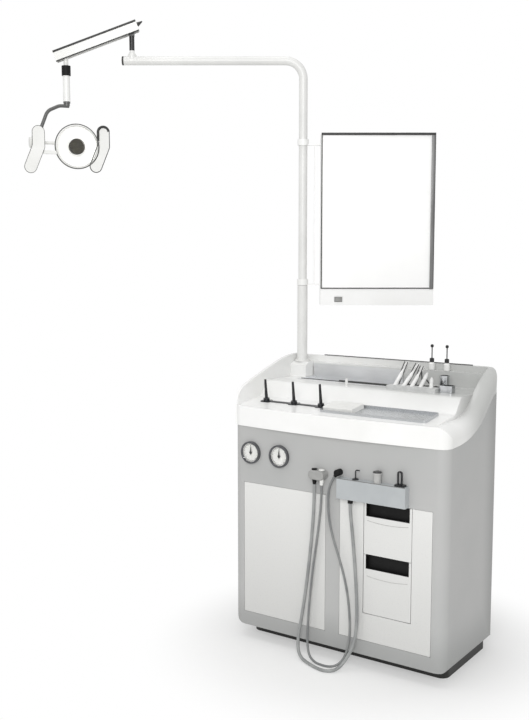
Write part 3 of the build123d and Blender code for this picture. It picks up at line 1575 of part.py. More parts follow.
# Viewer switch: a rocker in the control casing
with BuildPart() as viewer_switch:
    with BuildSketch(post_upright.offset(viewer_depth / 2 - 6)):
        with Locations((switch_x, switch_z)):
            Rectangle(28, 18)
    extrude(amount=9)
    fillet(viewer_switch.edges().filter_by(Axis((0, 0, 0), along)), 1.5)
save(viewer_switch.part, "viewer_switch")
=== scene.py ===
# %% [markdown]
# An ENT treatment unit: a steel cabinet with a moulded worktop, two tool hoses,
# a film viewer and an examination lamp on a tall tube. The hard parts come
# ready made from the imported CAD model. This lesson loads them, gives each one
# a finish, and models the small parts that the CAD leaves out.
#
# First the model is loaded.
# %% Load the imported model
import math
import bpy
import bmesh
from mathutils import Matrix, Vector


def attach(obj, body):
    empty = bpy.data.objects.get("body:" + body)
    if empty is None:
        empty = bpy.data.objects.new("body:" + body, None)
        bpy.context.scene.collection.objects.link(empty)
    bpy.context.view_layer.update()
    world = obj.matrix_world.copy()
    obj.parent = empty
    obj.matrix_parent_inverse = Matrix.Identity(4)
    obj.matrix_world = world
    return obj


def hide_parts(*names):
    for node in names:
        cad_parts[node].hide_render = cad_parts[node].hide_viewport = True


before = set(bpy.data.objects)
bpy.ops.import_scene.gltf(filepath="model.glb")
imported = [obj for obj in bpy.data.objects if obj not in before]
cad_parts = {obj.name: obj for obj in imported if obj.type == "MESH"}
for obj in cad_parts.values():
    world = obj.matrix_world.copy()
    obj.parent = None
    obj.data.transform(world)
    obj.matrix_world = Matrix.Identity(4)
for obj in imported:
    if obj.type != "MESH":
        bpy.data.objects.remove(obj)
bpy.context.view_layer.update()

# %% [markdown]
# The photograph was taken from the right of the cabinet and from above its
# top. The camera stands 3.4 m from the cabinet's middle and 1.4 m above the
# floor, and it looks down by six degrees.
# %% Camera
photo_camera = bpy.data.cameras.new("photo_camera")
photo_camera.lens = 49.2
photo_camera.sensor_width = 36.0
photo_camera.clip_start = 0.05
photo_camera.clip_end = 60.0
camera_stand = bpy.data.objects.new("photo_camera", photo_camera)
camera_stand.location = (1.6362, -2.9796, 1.3846)
camera_stand.rotation_euler = (math.radians(83.59), 0.0, math.radians(34.72))
bpy.context.scene.collection.objects.link(camera_stand)
bpy.context.scene.camera = camera_stand
print("camera at", tuple(camera_stand.location))

# %% [markdown]
# Colours are written as the sRGB hex values a designer would pick from a
# paint card. Blender mixes light in linear values, so one function turns
# them. One more function adds a shader node with its settings and links, and
# three short ones build on it: a mix of two colours, a calculation with two
# values, and a smooth step from one value to another.
# %% Helpers for shader nodes
def paint(hex_code):
    """sRGB hex to a linear colour with alpha."""
    levels = [int(hex_code[i:i + 2], 16) / 255 for i in (0, 2, 4)]
    return [v / 12.92 if v <= 0.04045 else ((v + 0.055) / 1.055) ** 2.4 for v in levels] + [1.0]


def add_node(tree, kind, settings=None, links=None):
    """Adds a node. A setting is a socket's value or a property of the node."""
    new = tree.nodes.new(kind)
    for name, value in (settings or {}).items():
        if isinstance(name, str) and hasattr(new, name):
            setattr(new, name, value)
        else:
            new.inputs[name].default_value = value
    for name, source in (links or {}).items():
        tree.links.new(source, new.inputs[name])
    return new


def mix_colours(tree, factor, first, second):
    """Goes from the first colour to the second. Each is a hex code or another node's output."""
    mixed = add_node(tree, "ShaderNodeMix", {"data_type": "RGBA"}, {0: factor})
    for socket, colour in ((mixed.inputs[6], first), (mixed.inputs[7], second)):
        if isinstance(colour, str):
            socket.default_value = paint(colour)
        else:
            tree.links.new(colour, socket)
    return mixed.outputs[2]


def reckon(tree, operation, first, second):
    """Reckons with two values. The second is a number or another node's output."""
    if isinstance(second, float):
        settings, links = {"operation": operation, 1: second}, {0: first}
    else:
        settings, links = {"operation": operation}, {0: first, 1: second}
    return add_node(tree, "ShaderNodeMath", settings, links).outputs[0]


def smooth_step(tree, value, start, end, low, high):
    """Rises or falls smoothly from low to high while the value goes from start to end."""
    settings = {"interpolation_type": "SMOOTHSTEP", "From Min": start, "From Max": end,
                "To Min": low, "To Max": high}
    return add_node(tree, "ShaderNodeMapRange", settings, {"Value": value}).outputs["Result"]


print("helpers for shader nodes")

# %% [markdown]
# A finish starts from its base colour, roughness, metal and IOR. Real coats
# are never one flat colour: most get a slow drift of tone over patches, and a
# fine relief with the change of roughness that goes with it. Both patterns
# are sized in millimetres and measured on the piece itself.
# %% Helpers for finishes
def start_finish(name, base, rough, metal=0.0, ior=1.5):
    """A material with its shader, ready for the pattern nodes of its cell."""
    finish = bpy.data.materials.new(name)
    finish.use_nodes = True
    finish.diffuse_color = paint(base)
    shader = finish.node_tree.nodes["Principled BSDF"]
    shader.inputs["Base Color"].default_value = paint(base)
    shader.inputs["Roughness"].default_value = rough
    shader.inputs["Metallic"].default_value = metal
    shader.inputs["IOR"].default_value = ior
    where = add_node(finish.node_tree, "ShaderNodeTexCoord").outputs["Object"]
    return finish, finish.node_tree, shader, where


def tone(tree, shader, where, first, second, size_mm, stretch=(1.0, 1.0, 1.0)):
    """Slow colour change over patches about size_mm across."""
    turned = add_node(tree, "ShaderNodeMapping", {"Scale": stretch}, {"Vector": where})
    cloud = add_node(tree, "ShaderNodeTexNoise", {"Scale": 1000.0 / size_mm, "Detail": 3.0},
                     {"Vector": turned.outputs["Vector"]})
    spread = add_node(tree, "ShaderNodeMapRange", {"From Min": 0.35, "From Max": 0.65},
                      {"Value": cloud.outputs["Fac"]})
    mixed = mix_colours(tree, spread.outputs["Result"], first, second)
    tree.links.new(mixed, shader.inputs["Base Color"])
    return mixed


def skin(tree, shader, where, size_mm, lift_mm, rough_low, rough_high, stretch=(1.0, 1.0, 1.0)):
    """Fine relief about size_mm across, and the roughness change that goes with it."""
    turned = add_node(tree, "ShaderNodeMapping", {"Scale": stretch}, {"Vector": where})
    grit = add_node(tree, "ShaderNodeTexNoise", {"Scale": 1000.0 / size_mm, "Detail": 4.0},
                    {"Vector": turned.outputs["Vector"]})
    relief = add_node(tree, "ShaderNodeBump", {"Strength": 1.0, "Distance": lift_mm / 1000.0},
                      {"Height": grit.outputs["Fac"]})
    tree.links.new(relief.outputs["Normal"], shader.inputs["Normal"])
    gloss = add_node(tree, "ShaderNodeMapRange",
                     {"From Min": 0.3, "From Max": 0.7, "To Min": rough_low, "To Max": rough_high},
                     {"Value": grit.outputs["Fac"]})
    tree.links.new(gloss.outputs["Result"], shader.inputs["Roughness"])


def coated(name, base, rough, tones, grain, metal=0.0, ior=1.5, extra=None):
    """A finish with one tone and one skin. Extra holds values for the shader's own sockets."""
    finish, tree, shader, where = start_finish(name, base, rough, metal, ior)
    for socket, value in (extra or {}).items():
        shader.inputs[socket].default_value = value
    tone(tree, shader, where, *tones)
    skin(tree, shader, where, *grain)
    return finish


def two_coats(name, lower, upper, height, rough):
    """Two colours that meet at a height, as where a part is masked off and dipped."""
    finish, tree, shader, where = start_finish(name, upper, rough)
    split = add_node(tree, "ShaderNodeSeparateXYZ", links={0: where}).outputs
    edge = reckon(tree, "GREATER_THAN", split["Z"], height)
    tree.links.new(mix_colours(tree, edge, lower, upper), shader.inputs["Base Color"])
    skin(tree, shader, where, 1.5, 0.015, rough - 0.05, rough + 0.07)
    return finish


def dress(finish, *names):
    """Puts a finish in the material slots of CAD nodes."""
    for name in names:
        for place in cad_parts[name].material_slots:
            place.material = finish
    print(finish.name, "on", ", ".join(names))


# %% [markdown]
# The two hoses are smooth grey PVC. Each leaves the hood under the worktop,
# hangs in a loop that touches the floor, and comes back up: the thick one to
# a gland under the rack, the thin one over the rack's corner into a capped
# elbow. A hose is one NURBS curve through a few control points, because that
# bends as a real tube does, with no corners. The points are those of the CAD
# route, in metres. The order and the end setting come after the points.
# %% Hoses
suction_route = [
    (-0.061, -0.238, 0.606), (-0.061, -0.238, 0.545), (-0.068, -0.238, 0.445),
    (-0.079, -0.239, 0.335), (-0.092, -0.24, 0.23), (-0.106, -0.242, 0.138), (-0.115, -0.25, 0.072),
    (-0.109, -0.262, 0.03), (-0.088, -0.276, 0.009), (-0.05, -0.294, 0.006), (-0.01, -0.31, 0.006),
    (0.026, -0.317, 0.006), (0.054, -0.303, 0.0065), (0.066, -0.278, 0.014), (0.082, -0.258, 0.042),
    (0.098, -0.246, 0.084), (0.106, -0.24, 0.135), (0.107, -0.238, 0.195), (0.104, -0.2385, 0.265),
    (0.098, -0.238, 0.34), (0.091, -0.2385, 0.42), (0.083, -0.238, 0.49), (0.077, -0.238, 0.535),
    (0.077, -0.238, 0.561),
]
spray_route = [
    (-0.033, -0.238, 0.606), (-0.033, -0.238, 0.55), (-0.041, -0.2385, 0.475),
    (-0.052, -0.238, 0.4), (-0.064, -0.2385, 0.32), (-0.073, -0.239, 0.24),
    (-0.079, -0.241, 0.165), (-0.08, -0.246, 0.1), (-0.076, -0.254, 0.052),
    (-0.062, -0.264, 0.017), (-0.034, -0.274, 0.005), (-0.002, -0.281, 0.005),
    (0.028, -0.278, 0.0055), (0.05, -0.265, 0.012), (0.066, -0.251, 0.034), (0.077, -0.243, 0.072),
    (0.081, -0.238, 0.125), (0.079, -0.2385, 0.185), (0.071, -0.238, 0.25), (0.056, -0.2385, 0.315),
    (0.036, -0.238, 0.372), (0.014, -0.2385, 0.43), (-0.002, -0.238, 0.488),
    (-0.008, -0.238, 0.545), (-0.0045, -0.238, 0.6129), (0.01837, -0.238, 0.64322),
]


def hang_hose(name, route, width, node, finish):
    """One hose as a NURBS tube that stands for a CAD node."""
    line = bpy.data.curves.new(name, "CURVE")
    line.dimensions = "3D"
    line.bevel_depth = width / 2
    line.bevel_resolution = 5
    line.resolution_u = 10
    line.use_fill_caps = True
    spline = line.splines.new("NURBS")
    spline.points.add(len(route) - 1)
    for point, spot in zip(spline.points, route):
        point.co = (*spot, 1.0)
    spline.order_u = 3
    spline.use_endpoint_u = True
    hose = bpy.data.objects.new(name, line)
    bpy.context.scene.collection.objects.link(hose)
    line.materials.append(finish)
    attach(hose, "cabinet")
    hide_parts(node)
    print(name, "points", len(route))


# Soft grey PVC: extruded, a little cloudy, with a dull shine along its length
pvc_grain = (1.5, 0.05, 0.28, 0.42)
grey_pvc = coated("soft_grey_pvc_hose", "8E9090", 0.34, ("868888", "999B9A", 45), pvc_grain,
                  ior=1.53)
thin_pvc = coated("thin_grey_pvc_hose", "7C7E7E", 0.34, ("747677", "868887", 45), pvc_grain,
                  ior=1.53)
hang_hose("suction_line", suction_route, 0.011, "suction_hose", grey_pvc)
hang_hose("spray_line", spray_route, 0.008, "spray_hose", thin_pvc)

# %% [markdown]
# A catalogue picture is lit by large soft boxes in a white room. The floor is
# a pale sheet that keeps the cabinet's soft shadow and turns plain white
# further out. What the camera sees of the room is plain white, and the same
# white shows in metal and glass, while the light that falls on the object
# stays at a plain level.
# %% Floor, room and lamps
def studio_box(name, place, aim, size, watts):
    """A square soft light at a place, turned to an aim."""
    lamp = bpy.data.lights.new(name, "AREA")
    lamp.shape = "SQUARE"
    lamp.size = size
    lamp.energy = watts
    stand = bpy.data.objects.new(name, lamp)
    stand.location = place
    stand.rotation_euler = (Vector(aim) - Vector(place)).to_track_quat("-Z", "Y").to_euler()
    bpy.context.scene.collection.objects.link(stand)


def seen_rays(tree):
    """1 for what the camera sees, also through glass and in metal, and 0 for the room's light."""
    rays = add_node(tree, "ShaderNodeLightPath").outputs
    seen = reckon(tree, "MAXIMUM", rays["Is Camera Ray"], rays["Is Transmission Ray"])
    return reckon(tree, "MAXIMUM", seen, rays["Is Glossy Ray"])


bpy.ops.object.select_all(action="DESELECT")
bpy.ops.mesh.primitive_plane_add(size=80, location=(0, 0, 0))
floor = bpy.context.object
floor.name = "pale_floor"
floor_sheet = bpy.data.materials.new("pale_floor_sheet")
floor_sheet.use_nodes = True
tree = floor_sheet.node_tree
tree.nodes.clear()
matt = add_node(tree, "ShaderNodeBsdfDiffuse", {"Color": paint("F2F2F1")})
glow = add_node(tree, "ShaderNodeEmission", {"Color": paint("FFFFFF"), "Strength": 1.0})
spot = add_node(tree, "ShaderNodeTexCoord").outputs["Object"]
reach = add_node(tree, "ShaderNodeVectorMath", {"operation": "LENGTH"}, {0: spot})
fade = smooth_step(tree, reach.outputs["Value"], 0.40, 0.80, 0.36, 1.0)
share = reckon(tree, "MULTIPLY", seen_rays(tree), fade)
both = add_node(tree, "ShaderNodeMixShader",
                links={0: share, 1: matt.outputs[0], 2: glow.outputs[0]})
add_node(tree, "ShaderNodeOutputMaterial", links={"Surface": both.outputs[0]})
floor.data.materials.append(floor_sheet)

room = bpy.data.worlds.new("white_room")
bpy.context.scene.world = room
room.use_nodes = True
tree = room.node_tree
tree.nodes.clear()
level = add_node(tree, "ShaderNodeMapRange", {"To Min": 0.58, "To Max": 1.0},
                 {"Value": seen_rays(tree)})
sky = add_node(tree, "ShaderNodeBackground", {"Color": paint("FFFFFF")},
               {"Strength": level.outputs["Result"]})
add_node(tree, "ShaderNodeOutputWorld", links={"Surface": sky.outputs[0]})
studio_box("front_box", (1.9, -4.1, 2.5), (0.0, -0.1, 0.8), 2.2, 94)
studio_box("top_box", (-0.6, -0.8, 4.6), (0.0, 0.0, 0.9), 2.6, 32)
bpy.context.scene.view_settings.view_transform = "Standard"
print("floor, room and two soft boxes")

# %% [markdown]
# The cabinet is bent from sheet steel and powder coated. The powder melts to
# a satin coat with a fine orange peel, about 2 mm from crest to crest. The
# coat has a slow drift of tone over each sheet. Towards the back and near the
# floor its colour is painted darker, a painted shade.
# %% Powder coated steel and enamelled panels
powder_grey, tree, shader, where = start_finish("powder_coated_steel_grey", "B8B8B7", 0.46)
coat = tone(tree, shader, where, "BABAB9", "B4B5B4", 320)
split = add_node(tree, "ShaderNodeSeparateXYZ", links={0: where}).outputs
# Painted shade: the coat's colour darkens towards the back and near the floor
rear = smooth_step(tree, split["Y"], 0.06, 0.20, 0.0, 0.9)
low = smooth_step(tree, split["Z"], 0.20, 0.05, 0.0, 0.55)
painted_shade_coat = mix_colours(tree, reckon(tree, "MAXIMUM", rear, low), coat, "919291")
tree.links.new(painted_shade_coat, shader.inputs["Base Color"])
skin(tree, shader, where, 2.2, 0.03, 0.4, 0.54)
dress(powder_grey, "body_shell", "back_panel")

# Stoved enamel on the panels: smoother than powder, whiter, painted darker towards the floor as a
# painted shade
panel_white, tree, shader, where = start_finish("stoved_enamel_panel_white", "EDEDEB", 0.3)
split = add_node(tree, "ShaderNodeSeparateXYZ", links={0: where}).outputs
height = add_node(tree, "ShaderNodeMapRange", {"From Min": 0.08, "From Max": 0.57},
                  {"Value": split["Z"]})
painted_shade_panel = mix_colours(tree, height.outputs["Result"], "D0D0CE", "E4E4E2")
tree.links.new(painted_shade_panel, shader.inputs["Base Color"])
skin(tree, shader, where, 3.0, 0.012, 0.26, 0.34)
dress(panel_white, "service_cover", "drawer_fascia", "upper_drawer", "lower_drawer")

# %% [markdown]
# The worktop is one vacuum formed acrylic moulding. Drawn acrylic is thick
# and glossy, and its forming leaves the wide, soft waves that break up the
# reflections on real bath and basin shells. Towards the back right its colour
# is painted grey, a painted shade.
# %% Moulded acrylic
acrylic_white, tree, shader, where = start_finish("vacuum_formed_acrylic_white", "F0F0EE", 0.2,
                                                  ior=1.49)
white = tone(tree, shader, where, "F8F8F7", "F1F1EF", 180)
split = add_node(tree, "ShaderNodeSeparateXYZ", links={0: where}).outputs
# Painted shade: the white turns grey towards the back and the right
rear = smooth_step(tree, split["Y"], -0.135, 0.06, 0.0, 1.0)
side = smooth_step(tree, split["X"], -0.25, 0.30, 0.22, 1.0)
shaded = mix_colours(tree, reckon(tree, "MULTIPLY", rear, side), white, "BEBFBD")
tree.links.new(shaded, shader.inputs["Base Color"])
skin(tree, shader, where, 60.0, 0.25, 0.16, 0.26)
dress(acrylic_white, "worktop")

# %% [markdown]
# Inside the cabinet are galvanised sheets with their frosty zinc crystals,
# about 12 mm across, and cast iron machines in hammered paint. A Voronoi
# pattern gives each crystal its own shade of grey.
# %% Zinc and hammered paint
zinc, tree, shader, where = start_finish("galvanised_sheet_steel", "AEB2B4", 0.42, metal=0.9)
spangle = add_node(tree, "ShaderNodeTexVoronoi", {"Scale": 1000.0 / 12}, {"Vector": where})
flake = add_node(tree, "ShaderNodeSeparateColor", links={0: spangle.outputs["Color"]}).outputs
frost = mix_colours(tree, flake[0], "9DA1A4", "BBBFC1")
tree.links.new(frost, shader.inputs["Base Color"])
shine = add_node(tree, "ShaderNodeMapRange", {"To Min": 0.32, "To Max": 0.52}, {"Value": flake[1]})
tree.links.new(shine.outputs["Result"], shader.inputs["Roughness"])
dress(zinc, "drawer_carcass", "inner_frame")
dress(coated("hammered_machine_paint", "5F6B70", 0.35, ("566267", "6B777B", 70),
             (5.0, 0.25, 0.25, 0.45)), "pump_set")

# %% [markdown]
# The plinth is a black laminated kick board, scuffed by shoes. The pulls,
# collars, glands and the inlet are moulded black nylon with a fine spark
# eroded grain, which keeps their highlights dull.
# %% Black laminate and black nylon
dress(coated("black_laminate_plinth", "1A1A18", 0.45, ("161614", "232320", 90, (1.0, 1.0, 3.0)),
             (1.8, 0.04, 0.38, 0.6)), "plinth")
dress(coated("moulded_black_nylon", "080808", 0.6, ("060606", "0C0C0C", 30),
             (0.9, 0.05, 0.55, 0.7), ior=1.53, extra={"Specular IOR Level": 0.25}),
      "upper_pull", "lower_pull", "mains_inlet", "hose_glands", "suction_handpiece", "drop_collar")

# %% [markdown]
# The hose hood and the tool rack are moulded in two greys of ABS: the hood a
# mid grey, the rack paler and a touch blue.
# %% Grey ABS
dress(coated("moulded_grey_abs_hood", "A2A2A0", 0.4, ("9D9D9B", "A8A8A6", 40),
             (1.2, 0.04, 0.36, 0.48)), "hose_hood")
dress(coated("moulded_blue_grey_abs_rack", "B2B6B8", 0.4, ("B0B4B6", "B6BABC", 60),
             (1.2, 0.03, 0.32, 0.42)), "front_rack")

# %% [markdown]
# The trays are brushed stainless steel. Brushing leaves fine parallel lines,
# so the noise is squeezed across the brushing and stretched along it. Real
# lines are about 0.2 mm apart; they are drawn 1 mm apart to show.
# %% Stainless and blackened steel
dress(coated("brushed_stainless_steel", "DCDDDE", 0.38,
             ("D2D3D4", "E2E3E4", 55, (0.3, 1.0, 1.0)),
             (1.0, 0.02, 0.32, 0.46, (0.04, 1.0, 1.0)), metal=0.85), "instrument_tray")
dress(coated("polished_stainless_steel", "C4C6C8", 0.16, ("B9BBBD", "CCCED0", 20),
             (3.0, 0.01, 0.12, 0.24), metal=1.0), "deck_cups")

# The probe rail is blackened, and the front tray to the right of it is plain steel
tray_start = -0.0765
fittings, tree, shader, where = start_finish("blackened_rail_and_steel_tray", "8E9092", 0.28,
                                             metal=0.9)
split = add_node(tree, "ShaderNodeSeparateXYZ", links={0: where}).outputs
beside = mix_colours(tree, reckon(tree, "GREATER_THAN", split["X"], tray_start), "3C3D3F", "C2C4C6")
tree.links.new(beside, shader.inputs["Base Color"])
skin(tree, shader, where, 1.0, 0.02, 0.22, 0.36, (0.05, 1.0, 1.0))
dress(fittings, "shelf_fittings")
dress(coated("blackened_steel_rod", "2E2E30", 0.34, ("262628", "3C3C3E", 12),
             (1.0, 0.02, 0.28, 0.44), metal=0.7),
      "left_probe", "middle_probe", "right_probe", "spring_clip", "pressure_pointer",
      "suction_pointer", "cannula")

# %% [markdown]
# The gauges have cases of dark satin plastic and flat lenses of clear float
# glass. The same glass closes the lamp head.
# %% Gauge cases and clear glass
dress(coated("dark_satin_gauge_ring", "4A4B4D", 0.32, ("434446", "55565A", 15),
             (1.0, 0.02, 0.28, 0.4)), "gauge_cases")
lens_glass, tree, shader, where = start_finish("clear_float_glass", "FFFFFF", 0.03, ior=1.52)
shader.inputs["Transmission Weight"].default_value = 1.0
shader.inputs["Alpha"].default_value = 0.14
skin(tree, shader, where, 25.0, 0.005, 0.015, 0.05)
dress(lens_glass, "gauge_lenses", "head_lens")

# %% [markdown]
# The lamp tube, its arm, the drop tube and the lamp head are stoved in white
# enamel, harder and shinier than the cabinet's powder. The tube and its sleeve
# are painted a little greyer than the rest, a painted shade. The yoke's rod is
# dark enamel below its white tube, and the spindle's top is a black bush.
# %% White enamel on the lamp
dress(coated("stoved_white_enamel", "EFEFED", 0.26, ("F1F1EF", "E9E9E6", 120),
             (2.0, 0.015, 0.22, 0.32)), "arm_cover", "drop_link", "lamp_housing")
# Painted shade: a greyer copy of the white enamel for the tube and its sleeve
dress(coated("stoved_enamel_tube_white", "E4E4E2", 0.28, ("E6E6E4", "DEDEDC", 120),
             (2.0, 0.015, 0.24, 0.34)), "post_sleeve", "lamp_tube")
dress(two_coats("white_tube_dark_yoke", "5A5A59", "EFEFED", 1.9285, 0.28), "lamp_yoke")
dress(two_coats("white_spindle_black_bush", "E4E4E2", "151515", 2.112, 0.3), "arm_spindle")

# %% [markdown]
# The film viewer's case is white enamel inside a black anodised edging. Its
# screen is opal acrylic, which scatters the light of the tubes behind it, so
# it glows a little.
# %% Film viewer
dress(coated("viewer_white_enamel", "F3F3F2", 0.32, ("F4F4F3", "EEEEEC", 160),
             (2.0, 0.012, 0.28, 0.38)), "viewer_case", "viewer_bracket")
dress(coated("opal_acrylic_screen", "F7F7F6", 0.22, ("F8F8F7", "F4F4F3", 240),
             (40.0, 0.02, 0.18, 0.28), ior=1.49,
             extra={"Emission Color": paint("FFFFFF"), "Emission Strength": 0.06}),
      "viewer_screen")
dress(coated("black_anodised_edging", "202021", 0.36, ("1B1B1C", "2A2A2B", 60, (1.0, 1.0, 0.2)),
             (0.8, 0.01, 0.3, 0.42, (1.0, 1.0, 0.05)), metal=0.4), "viewer_frame")
dress(coated("grey_rocker_switch", "8A8A88", 0.38, ("828280", "929290", 10),
             (0.8, 0.02, 0.34, 0.44)), "viewer_switch")

# %% [markdown]
# Inside the lamp head a satin white reflector surrounds the bulb, and a
# small shield, tanned brown by the heat, hides the bulb from the doctor.
# The reflector is given a faint glow of its own, painted light that keeps the
# dish white.
# %% Reflector and bulb shield
# Painted light: a faint glow in the reflector's own colour
dress(coated("satin_white_reflector", "F0F0EE", 0.3, ("F2F2F0", "E8E8E5", 30),
             (1.2, 0.02, 0.24, 0.38),
             extra={"Emission Color": paint("FFFFFC"), "Emission Strength": 0.42}), "reflector")
dress(coated("heat_tanned_shield", "3A372F", 0.5, ("302E28", "4A463B", 9),
             (0.9, 0.03, 0.42, 0.6), metal=0.3), "bulb_shield")

# %% [markdown]
# Small white parts are moulded in ABS, and the five rinsing handpieces in a
# sterilisable plastic with a softer look. They stand in a cradle of grey
# silicone. The capped handle has a dark lid, and the bottles black nozzles.
# %% White plastics
dress(coated("moulded_white_abs", "EBEBE8", 0.36, ("EDEDEA", "E5E5E2", 25),
             (1.0, 0.02, 0.32, 0.42)), "swab_box", "spray_handpiece", "tilt_knob")
dress(two_coats("grey_handle_dark_lid", "B4B4B2", "3A3A3A", 0.6745, 0.34), "capped_handle")
dress(two_coats("white_bottle_black_nozzle", "EFEFED", "141414", 0.9895, 0.3),
      "left_atomiser", "right_atomiser")
dress(coated("grey_silicone_cradle", "C4C5C4", 0.55, ("BEBFBE", "CBCCCB", 20),
             (1.0, 0.03, 0.5, 0.62)), "handpiece_cradle")
dress(coated("sterilisable_white_plastic", "EDEDEC", 0.3, ("EFEFEE", "E2E2E0", 18),
             (0.9, 0.015, 0.26, 0.36)), *["rinse_handpiece_%d" % n for n in range(1, 6)])

# %% [markdown]
# Small pieces that the CAD leaves out are modelled here. Each starts as a
# primitive or a curve at its real size and place, and ends with its place in
# its mesh and its object at the origin, as the CAD nodes have. The lamp hangs
# in two turned planes, so three helpers give a point: one on the post's
# upright plane, one along the tilted arm in it, and one on the lamp head.
# %% Places on the lamp
post_turn = math.radians(34.7)
head_turn = math.radians(56.7)
post_foot = Vector((-0.370, 0.168, 0.0))
along = Vector((math.cos(post_turn), math.sin(post_turn), 0.0))
toward = Vector((math.sin(post_turn), -math.cos(post_turn), 0.0))
across = Vector((math.cos(head_turn), math.sin(head_turn), 0.0))
forward = Vector((math.sin(head_turn), -math.cos(head_turn), 0.0))
upward = Vector((0, 0, 1))
drop_foot = post_foot - along * 0.8763
arm_tilt = math.radians(20)
arm_pivot_run, arm_pivot_height = -0.632, 2.192


def on_post(s, z, out=0.0):
    """Point at s along the post's upright plane, out of it towards the front, at height z."""
    return post_foot + along * s + toward * out + Vector((0, 0, z))


def on_arm(run, up, out=0.0):
    """Point along the tilted arm, up from its middle line and out of its side."""
    s = arm_pivot_run - run * math.cos(arm_tilt) - up * math.sin(arm_tilt)
    z = arm_pivot_height - run * math.sin(arm_tilt) + up * math.cos(arm_tilt)
    return on_post(s, z, out)


def on_head(u, z, out=0.0):
    """Point at u across the lamp head, out towards its front, at height z."""
    return drop_foot + across * u + forward * out + Vector((0, 0, z))


print("drop axis at", drop_foot)

# %% [markdown]
# Every piece goes through the same few steps: clear the selection, add a
# primitive, round its edges, then settle it, which applies its place, shades
# it, dresses it and lets it ride on its body. A bar and a bead are the two
# shapes that come back most.
# %% Helpers for pieces
def clear_selection():
    """Leaves edit mode and deselects everything, so an operator acts on one piece."""
    if bpy.context.object and bpy.context.object.mode == "EDIT":
        bpy.ops.object.mode_set(mode="OBJECT")
    bpy.ops.object.select_all(action="DESELECT")


def round_edges(piece, width, steps=3, angle=30):
    """Bevels the sharp edges of a piece and applies the modifier."""
    bevel = piece.modifiers.new("round_edges", "BEVEL")
    bevel.width = width
    bevel.segments = steps
    bevel.limit_method = "ANGLE"
    bevel.angle_limit = math.radians(angle)
    bpy.context.view_layer.objects.active = piece
    bpy.ops.object.modifier_apply(modifier=bevel.name)


def settle(piece, name, finish, body):
    """Puts the place in the mesh, names and dresses the piece and lets it ride on a body."""
    clear_selection()
    piece.select_set(True)
    bpy.context.view_layer.objects.active = piece
    bpy.ops.object.transform_apply(location=True, rotation=True, scale=True)
    bpy.ops.object.shade_smooth_by_angle(angle=math.radians(35))
    piece.name = name
    piece.data.name = name
    piece.data.materials.clear()
    piece.data.materials.append(finish)
    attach(piece, body)
    print(name, "faces", len(piece.data.polygons), "on", body)


def bar(start, end, width, thick, side, round_mm=0.4):
    """A bevelled bar between two points, width measured along side."""
    clear_selection()
    start, end, side = Vector(start), Vector(end), Vector(side).normalized()
    run = end - start
    bpy.ops.mesh.primitive_cube_add(size=1)
    piece = bpy.context.object
    third = run.normalized().cross(side).normalized()
    turn = Matrix((run.normalized(), side, third)).transposed().to_4x4()
    piece.matrix_world = (Matrix.Translation((start + end) / 2) @ turn
                          @ Matrix.Diagonal((run.length, width, thick, 1.0)))
    clear_selection()
    piece.select_set(True)
    bpy.ops.object.transform_apply(location=True, rotation=True, scale=True)
    round_edges(piece, round_mm / 1000)
    return piece


def bead(name, points, radius, finish, body, closed=False):
    """A round bead along points, made as a curve and turned into a mesh."""
    clear_selection()
    line = bpy.data.curves.new(name, "CURVE")
    line.dimensions = "3D"
    line.bevel_depth = radius
    line.bevel_resolution = 3
    line.use_fill_caps = True
    spline = line.splines.new("POLY")
    spline.points.add(len(points) - 1)
    for point, spot in zip(spline.points, points):
        point.co = (*spot, 1.0)
    spline.use_cyclic_u = closed
    piece = bpy.data.objects.new(name, line)
    bpy.context.scene.collection.objects.link(piece)
    piece.select_set(True)
    bpy.context.view_layer.objects.active = piece
    bpy.ops.object.convert(target="MESH")
    settle(bpy.context.object, name, finish, body)


def ring(radius, thick, steps, sides=8, place=(0, 0, 0), turn=(0, 0, 0)):
    """A round ring of a radius and half a thickness, lying flat unless it is turned."""
    clear_selection()
    bpy.ops.mesh.primitive_torus_add(major_segments=steps, minor_segments=sides,
                                     major_radius=radius, minor_radius=thick,
                                     location=place, rotation=turn)
    return bpy.context.object


def pick_faces(piece, wanted):
    """In edit mode, selects the faces that pass a test and no others."""
    bpy.ops.mesh.select_mode(type="FACE")
    bpy.ops.mesh.select_all(action="DESELECT")
    mesh = bmesh.from_edit_mesh(piece.data)
    for face in mesh.faces:
        face.select = wanted(face)
    bmesh.update_edit_mesh(piece.data)


print("helpers for pieces")

# %% [markdown]
# Two gauges read the pressure and the vacuum. Behind each glass is a white
# card with a printed ring and scale strokes over three quarters of a turn.
# The card is a thin disc with a raised lip. The strokes are short bars round
# the scale, every fifth one longer, joined with the rings to one print.
# %% Gauge cards and scales
card_white = coated("printed_white_card", "F2F2EF", 0.55, ("F4F4F1", "EBEBE7", 15),
                    (0.8, 0.01, 0.5, 0.6))
ink_black = coated("black_scale_ink", "1E1E1F", 0.5, ("1A1A1B", "2B2B2C", 3),
                   (0.5, 0.005, 0.45, 0.6))
gauge_height = 0.679
facing_front = (math.pi / 2, 0, 0)
stroke_count, first_degree, degree_step = 11, 225, 27


def gauge_card(x, label):
    """A card with a lip behind one gauge's glass."""
    clear_selection()
    bpy.ops.mesh.primitive_cylinder_add(vertices=96, radius=0.0328, depth=0.0008,
                                        location=(x, -0.2242, gauge_height), rotation=facing_front)
    card = bpy.context.object
    bpy.ops.object.mode_set(mode="EDIT")
    pick_faces(card, lambda face: face.normal.z > 0.9 and len(face.verts) > 8)
    bpy.ops.mesh.inset(thickness=0.0016)
    bpy.ops.transform.translate(value=(0, 0.0004, 0))
    bpy.ops.object.mode_set(mode="OBJECT")
    settle(card, label + "_card", card_white, "cabinet")


